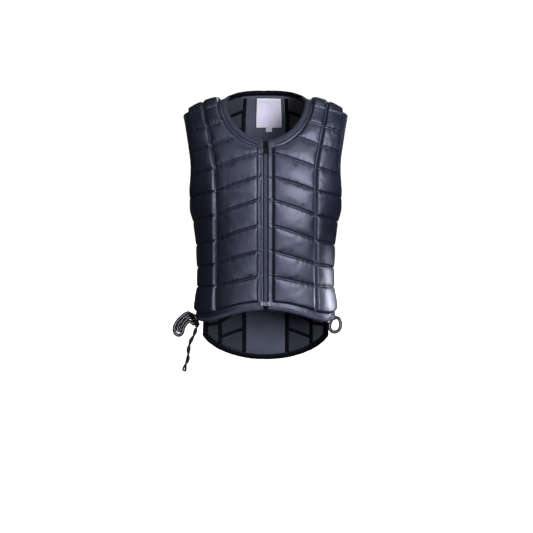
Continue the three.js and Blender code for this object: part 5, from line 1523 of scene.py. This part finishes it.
class VEST_OT_zip(bpy.types.Operator):
    """Coil zip with its tapes, darkened beside the coil as painted shade, end film and metal pieces"""

    bl_idname = "vest.zip"
    bl_label = "Zip"

    def execute(self, context):
        cloth = tuple(context.scene.vest_colours.zip_cloth)
        coil = ribbed_tape("woven_zip_coil_tape", cloth, 0.0015, 0.5, 0.15)
        # The side tapes are the zip cloth at about a third of its brightness: painted shade for the shadowed gaps
        # between the coil and the placket folds.
        edge = ribbed_tape("woven_zip_tape_painted_shade", scaled(cloth, 0.35), 0.0012)
        top = -NECK_DROP + 4 - 3.2 - 1
        bottom = -FRONT_LENGTH * HEM_DROP[0] + 1
        box_top = bottom + 9.35
        level = np.linspace(top, box_top, 620)
        across = np.array([-4.2, -4.15, -3.3, -2.3, -1.3, -0.5, -0.12, 0.12, 0.5, 1.3, 2.3, 3.3, 4.15, 4.2])
        lift = np.array([-2.2, -0.6, -0.15, 0.0, 0.0, -0.1, -0.45, -0.45, -0.1, 0.0, 0.0, -0.15, -0.6, -2.2])
        frame_out = outward_normal(np.zeros_like(level), run_at(np.zeros_like(level), level))
        base = zip_place(level, 0, CHAIN_DEPTH)
        rib = 0.22 * np.abs(np.sin(math.pi * (level[:, None] + 0.5 * np.abs(across)[None, :]) / 1.5))
        rib = rib * (np.abs(lift) < 0.5)[None, :]
        points = (base[:, None, :] + across[None, :, None] * np.array([1.0, 0, 0])
                  + (lift[None, :] + rib)[..., None] * frame_out[:, None, :])
        uv = np.stack(np.meshgrid(level, across, indexing="ij"), -1) * MM
        chain = make_object("zip_coil", points.reshape(-1, 3), grid_faces(*points.shape[:2]), uv.reshape(-1, 2))
        finish_piece(chain, ["zip_chain"], materials=[coil])
        for name, side in (("right", 1), ("left", -1)):
            # Each side tape lies under an edge of the coil, and its dark shows in the gap there as painted shade.
            line = zip_place(level[::6], side * 2.7, TAPE_DEPTH + 0.9)
            part = ribbon(line, frame_out[::6], 4.9, 0.8)
            obj = make_object("zip_gap_shade_tape_" + name, *part)
            finish_piece(obj, ["zip_tape_" + name], materials=[edge])
        enamel = worn_metal("black_enamelled_zinc", colour(ENAMEL_COLOUR), 0.0, 0.16, 0.5, coat_weight=0.3)
        nickel = worn_metal("nickel_plated_zinc", colour(NICKEL_COLOUR), 1.0, 0.24, 0.12)
        for node, material in (("zip_slider", enamel), ("zip_pull", enamel), ("zip_bottom_box", nickel)):
            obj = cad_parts[node]
            bevel = obj.modifiers.new("worn_edges", "BEVEL")
            bevel.width = 0.00035
            bevel.segments = 2
            obj.data.materials.clear()
            obj.data.materials.append(material)
        self.end_film(bottom, nickel)
        return {"FINISHED"}

    def end_film(self, bottom, nickel):
        """The clear film that stiffens the ends of the zip tapes over the placket."""
        base = colour(FILM_COLOUR)
        film, tree, shader = start_material("heat_pressed_zip_film", base, 0.18, ior=1.5, coat_weight=0.6)
        place, _, _ = vary_colour(tree, shader, base, 200.0, 0.85, 1.15)
        grain = add_node(tree, "ShaderNodeTexNoise", {"in:Scale": 700.0}, {"Vector": place.outputs["Object"]})
        add_bump(tree, shader, 0.2, 0.0002, grain.outputs["Fac"])
        parts = []
        for side in (-1, 1):
            level = np.linspace(bottom + 0.6, bottom + 9.0, 8)
            normal = outward_normal(np.zeros_like(level), run_at(np.zeros_like(level), level))
            line = zip_place(level, side * 8.3, BAND_DEPTH - 3.3)
            parts.append(ribbon(line, normal, 5.6, 0.5))
        obj = make_object("zip_end_film", *merge(parts))
        finish_piece(obj, materials=[film])


def lining_place(across, level, clearance):
    """Points beside the lining of the spine column, which is flat across."""
    level = np.asarray(level, float)
    middle = spine_centre(level)
    seam = spine_point(level)
    length = np.linalg.norm(surface_point(*middle) - surface_point(*seam), axis=-1)
    side = between(middle, seam, 1 - 4.5 / length)
    depth = np.full(level.shape, PAD_THICKNESS + clearance)
    a = shell_point(*middle, depth)
    b = shell_point(*side, depth)
    point = a + (b - a) * (np.abs(across) / (SPINE_HALF_WIDTH - 4.5))[..., None]
    return np.where((across < 0)[..., None], point * np.array([-1, 1, 1]), point)


class VEST_OT_labels(bpy.types.Operator):
    """The blank label in the back of the neck and the small tab under it"""

    bl_idname = "vest.labels"
    bl_label = "Neck label and tab"

    def execute(self, context):
        material = satin_label(tuple(context.scene.vest_colours.label))
        sheets = (("neck_label", 8, 2, 60, 70, 40, 36), ("size_tab", 8, -68.4, 15, 10, 12, 10))
        for name, centre, top, width, height, rows, columns in sheets:
            across, down = np.meshgrid(np.linspace(-0.5, 0.5, columns + 1), np.linspace(0, 1, rows + 1))
            layers = []
            ripple = 0.35 * soft_noise(across * width, down * height, 18, 14, 7) + 0.35
            curl = 0.9 * np.maximum(0, np.abs(across) * 2 - 0.8) + 0.8 * np.maximum(0, down - 0.85)
            for layer in (0.75, 0.2):
                lift = layer + (ripple + curl if name == "neck_label" else ripple * 0.4)
                base = lining_place(centre + width * across, top - height * down, 0.9)
                outward = outward_normal(np.full(down.shape, math.pi), run_at(np.full(down.shape, math.pi), top - height * down))
                layers.append(base - outward * lift[..., None])
            vertices = np.concatenate([layer.reshape(-1, 3) for layer in layers])
            size = (rows + 1) * (columns + 1)
            faces = grid_faces(rows + 1, columns + 1, 0, False).tolist()
            faces += grid_faces(rows + 1, columns + 1, size, True).tolist()
            ring = ([j for j in range(columns)] + [i * (columns + 1) + columns for i in range(rows)]
                    + [rows * (columns + 1) + j for j in range(columns, 0, -1)]
                    + [i * (columns + 1) for i in range(rows, 0, -1)])
            for a, b in zip(ring, ring[1:] + ring[:1]):
                faces.append((a, b, b + size, a + size))
            uv = np.stack([across * width, -down * height], -1) * MM
            obj = make_object(name + "_satin", vertices, faces, np.concatenate([uv.reshape(-1, 2)] * 2))
            border = np.minimum.reduce([(0.5 - np.abs(across)) * width, down * height, (1 - down) * height])
            edge = np.clip(1 - border / 2.2, 0, 1) if name == "neck_label" else np.zeros_like(border)
            attribute = obj.data.attributes.new("label_edge", "FLOAT", "POINT")
            attribute.data.foreach_set("value", np.concatenate([edge.ravel()] * 2).astype(np.float32))
            finish_piece(obj, [name], materials=[material])
        return {"FINISHED"}


class VEST_OT_lining_tapes(bpy.types.Operator):
    """Black tapes over the seams of the lining"""

    bl_idname = "vest.lining_tapes"
    bl_label = "Lining tapes"

    def execute(self, context):
        width = context.scene.vest_sizes.channel / MM
        tape = PANEL["black_tape"]
        back_levels, back_curves = back_stations()
        parts = []
        for k in (1, 2):
            level = np.linspace(back_levels[0, k] + (14 if k == 1 else 10), (-604 if k == 1 else -581), 150)
            parts += self.pair(*back_curves[k](level), width)
        share = np.linspace(0.03, 0.97, 40)
        for i, row in enumerate(BACK_ROWS):
            for k in range(1, 1 + row[0]):
                a = back_curves[k](np.array(back_levels[i, k]))
                b = back_curves[k + 1](np.array(back_levels[i, k + 1]))
                reach = share if k == 1 else share * 0.93
                parts += self.pair(*between(a, b, reach), width * 0.8)
        obj = make_object("lining_tapes_back", *merge(parts))
        finish_piece(obj, materials=[tape])
        front_levels, front_curves = front_stations()
        level = np.linspace(front_levels[0, 1], -FRONT_LENGTH * 0.965, 120)
        parts = self.pair(*front_curves[1](level), width)
        obj = make_object("lining_tapes_front", *merge(parts))
        finish_piece(obj, materials=[tape])
        return {"FINISHED"}

    def pair(self, turn, run, width):
        points = shell_point(turn, run, np.full(np.shape(turn), PAD_THICKNESS - 0.75))
        part = ribbon(points, -outward_normal(turn, run), width, 0.9)
        return [part, mirrored(part)]


def side_place(behind, beyond, level, depth):
    """A place at a distance past a side edge, away from its panel."""
    edge = BACK_SIDE_TURN if behind else FRONT_SIDE_TURN
    run = run_at(edge, level)
    speed = np.linalg.norm(surface_point(edge + 0.002, run) - surface_point(edge - 0.002, run), axis=-1) / 0.004
    turn = edge + (-1 if behind else 1) * beyond / speed
    return shell_point(turn, run_at(turn, level), depth)


def slot_level(k):
    return -(FIRST_SLOT_DROP + (LAST_SLOT_DROP - FIRST_SLOT_DROP) * k / (SLOT_COUNT - 1))


def strand_points(starts_behind, crossing):
    points = []
    over = LACING_TAPE_DEPTH - LACE / 2 - LACE_CLEARANCE
    under = LACING_TAPE_DEPTH + LACING_TAPE_THICKNESS + LACE / 2 + LACE_CLEARANCE
    centre = LACING_TAPE_DEPTH + LACING_TAPE_THICKNESS / 2
    reach = 0.85 * SLOT_LENGTH / 2
    edge = LACING_TAPE_OVERHANG
    for k in range(SLOT_COUNT):
        behind = starts_behind == (k % 2 == 0)
        level = slot_level(k)
        points.append(side_place(behind, SLOT_INSET, level + reach, under))
        points.append(side_place(behind, SLOT_INSET, level, centre))
        points.append(side_place(behind, SLOT_INSET, level - reach, over))
        if k < SLOT_COUNT - 1:
            following = slot_level(k + 1)
            here = side_place(behind, edge, level, crossing)
            there = side_place(not behind, edge, following, crossing)
            points.append(side_place(behind, edge, level + (following - level) * LACE_LEAVES, over))
            points.append((here + there) / 2)
            points.append(side_place(not behind, edge, level + (following - level) * (1 - LACE_LEAVES), under))
        else:
            points.append(side_place(behind, SLOT_INSET, level - SLOT_LENGTH / 2 - 5 - LACE / 2, over))
    return points


class VEST_OT_side_lacing(bpy.types.Operator):
    """Slotted webbing tapes along the sides and the laces between them"""

    bl_idname = "vest.side_lacing"
    bl_label = "Side lacing"

    def execute(self, context):
        webbing = ribbed_tape("woven_lacing_webbing", scaled(tuple(context.scene.vest_colours.binding), 0.2), 0.0022)
        for behind, mirror in ((False, False), (True, False), (False, True), (True, True)):
            self.webbing(behind, mirror, webbing)
        middle = LACING_TAPE_DEPTH + LACING_TAPE_THICKNESS / 2
        apart = (LACE + STRAND_GAP) / 2
        path = strand_points(False, middle - apart)[::-1] + strand_points(True, middle + apart)
        for side, label, knot in ((1, "right", RIGHT_KNOT), (-1, "left", LEFT_KNOT)):
            flip = np.array([side, 1, 1])
            ends = []
            for direction in STRAND_ENDS:
                toward = unit(np.array(direction, float) * flip)
                start = np.array(knot) + toward * (KNOT_SIZE / 2 - 1.0)
                ends.append([start, start + toward * LACE / 2])
            points = [*ends[0], *[p * flip for p in path], *ends[1][::-1]]
            lace = make_object("side_lace_%s_cord" % label, *tube(catmull(points, 5), LACE / 2, 12))
            finish_piece(lace, ["side_lace_" + label], materials=[PANEL["cord"]])
        return {"FINISHED"}

    def webbing(self, behind, mirror, material):
        """A woven tape with rounded selvedges and a worked slot for each pass of the lace."""
        top = slot_level(0) + SLOT_LENGTH / 2 + 5
        bottom = slot_level(SLOT_COUNT - 1) - SLOT_LENGTH / 2 - 5
        levels = np.linspace(top, bottom, 160)
        half_slot = SLOT_LENGTH / 2
        extra = [slot_level(k) + s * half_slot for k in range(SLOT_COUNT) for s in (-1, 1)]
        levels = np.sort(np.append(levels, extra))[::-1]
        start = LACING_TAPE_OVERHANG - LACING_TAPE_WIDTH
        inner = SLOT_INSET - SLOT_WIDTH / 2
        outer = SLOT_INSET + SLOT_WIDTH / 2
        across = np.concatenate([np.linspace(start, inner, 8), np.linspace(outer, LACING_TAPE_OVERHANG, 4)])
        rows = len(levels)
        columns = len(across)
        layers = []
        edge = np.minimum(across - start, LACING_TAPE_OVERHANG - across)
        slot_edge = np.minimum(np.abs(across - inner), np.abs(across - outer))
        raised = 0.25 * (edge < 1.5) + 0.3 * (slot_edge < 0.6)
        wave = 0.25 * soft_noise(levels, levels * 0, 16, 5, 3 + behind)
        for layer in (0, 1):
            grid = []
            for j, beyond in enumerate(across):
                depth = LACING_TAPE_DEPTH + layer * LACING_TAPE_THICKNESS + wave
                depth = depth + (raised[j] if layer else -raised[j])
                grid.append(side_place(behind, beyond, levels, depth))
            layers.append(np.stack(grid, 1))
        flip = np.array([-1 if mirror else 1, 1, 1])
        vertices = np.concatenate([layer.reshape(-1, 3) for layer in layers]) * flip
        count = rows * columns
        in_slot = np.array([any(abs((levels[i] + levels[i + 1]) / 2 - slot_level(k)) < half_slot
                                for k in range(SLOT_COUNT)) for i in range(rows - 1)])
        solid = np.ones((rows - 1, columns - 1), bool)
        solid[in_slot, 7] = False
        turned = behind == mirror
        faces = []
        for i in range(rows - 1):
            for j in range(columns - 1):
                if not solid[i, j]:
                    continue
                a = i * columns + j
                corners = [a, a + 1, a + 1 + columns, a + columns]
                faces.append(corners)
                faces.append([c + count for c in corners[::-1]])
                sides = [((a + columns, a), j == 0 or not solid[i, j - 1]),
                         ((a + 1, a + 1 + columns), j == columns - 2 or not solid[i, j + 1]),
                         ((a, a + 1), i == 0 or not solid[i - 1, j]),
                         ((a + 1 + columns, a + columns), i == rows - 2 or not solid[i + 1, j])]
                for (p, q), is_open in sides:
                    if is_open:
                        faces.append([q, p, p + count, q + count])
        if turned:
            faces = [f[::-1] for f in faces]
        uv = np.stack(np.meshgrid(levels, across, indexing="ij"), -1).reshape(-1, 2) * MM
        name = "lacing_tape_%s_%s" % ("back" if behind else "front", "left" if mirror else "right")
        obj = make_object(name + "_webbing", vertices, faces, np.concatenate([uv, uv]))
        finish_piece(obj, [name], materials=[material])


class VEST_PT_panel(bpy.types.Panel):
    """Lists the steps that build the vest"""

    bl_idname = "VEST_PT_panel"
    bl_label = "Riding vest"
    bl_space_type = "VIEW_3D"
    bl_region_type = "UI"
    bl_category = "Vest"

    def draw(self, context):
        layout = self.layout
        for operator in OPERATORS:
            layout.operator(operator.bl_idname)
        for group in (context.scene.vest_sizes, context.scene.vest_colours):
            box = layout.box()
            for key in group.__annotations__:
                box.prop(group, key)


OPERATORS = (
    VEST_OT_stage,
    VEST_OT_lace_ends,
    VEST_OT_front_panels,
    VEST_OT_back_panel,
    VEST_OT_bindings,
    VEST_OT_zip,
    VEST_OT_labels,
    VEST_OT_lining_tapes,
    VEST_OT_side_lacing,
)
CLASSES = (VestSizes, VestColours, *OPERATORS, VEST_PT_panel)


def register():
    for cls in CLASSES:
        bpy.utils.register_class(cls)
    bpy.types.Scene.vest_sizes = bpy.props.PointerProperty(type=VestSizes)
    bpy.types.Scene.vest_colours = bpy.props.PointerProperty(type=VestColours)


def unregister():
    del bpy.types.Scene.vest_colours
    del bpy.types.Scene.vest_sizes
    for cls in reversed(CLASSES):
        bpy.utils.unregister_class(cls)


def main():
    register()
    bpy.ops.vest.stage()
    bpy.ops.vest.lace_ends()
    bpy.ops.vest.front_panels()
    bpy.ops.vest.back_panel()
    bpy.ops.vest.bindings()
    bpy.ops.vest.zip()
    bpy.ops.vest.labels()
    bpy.ops.vest.lining_tapes()
    bpy.ops.vest.side_lacing()


if __name__ == "__main__":
    main()
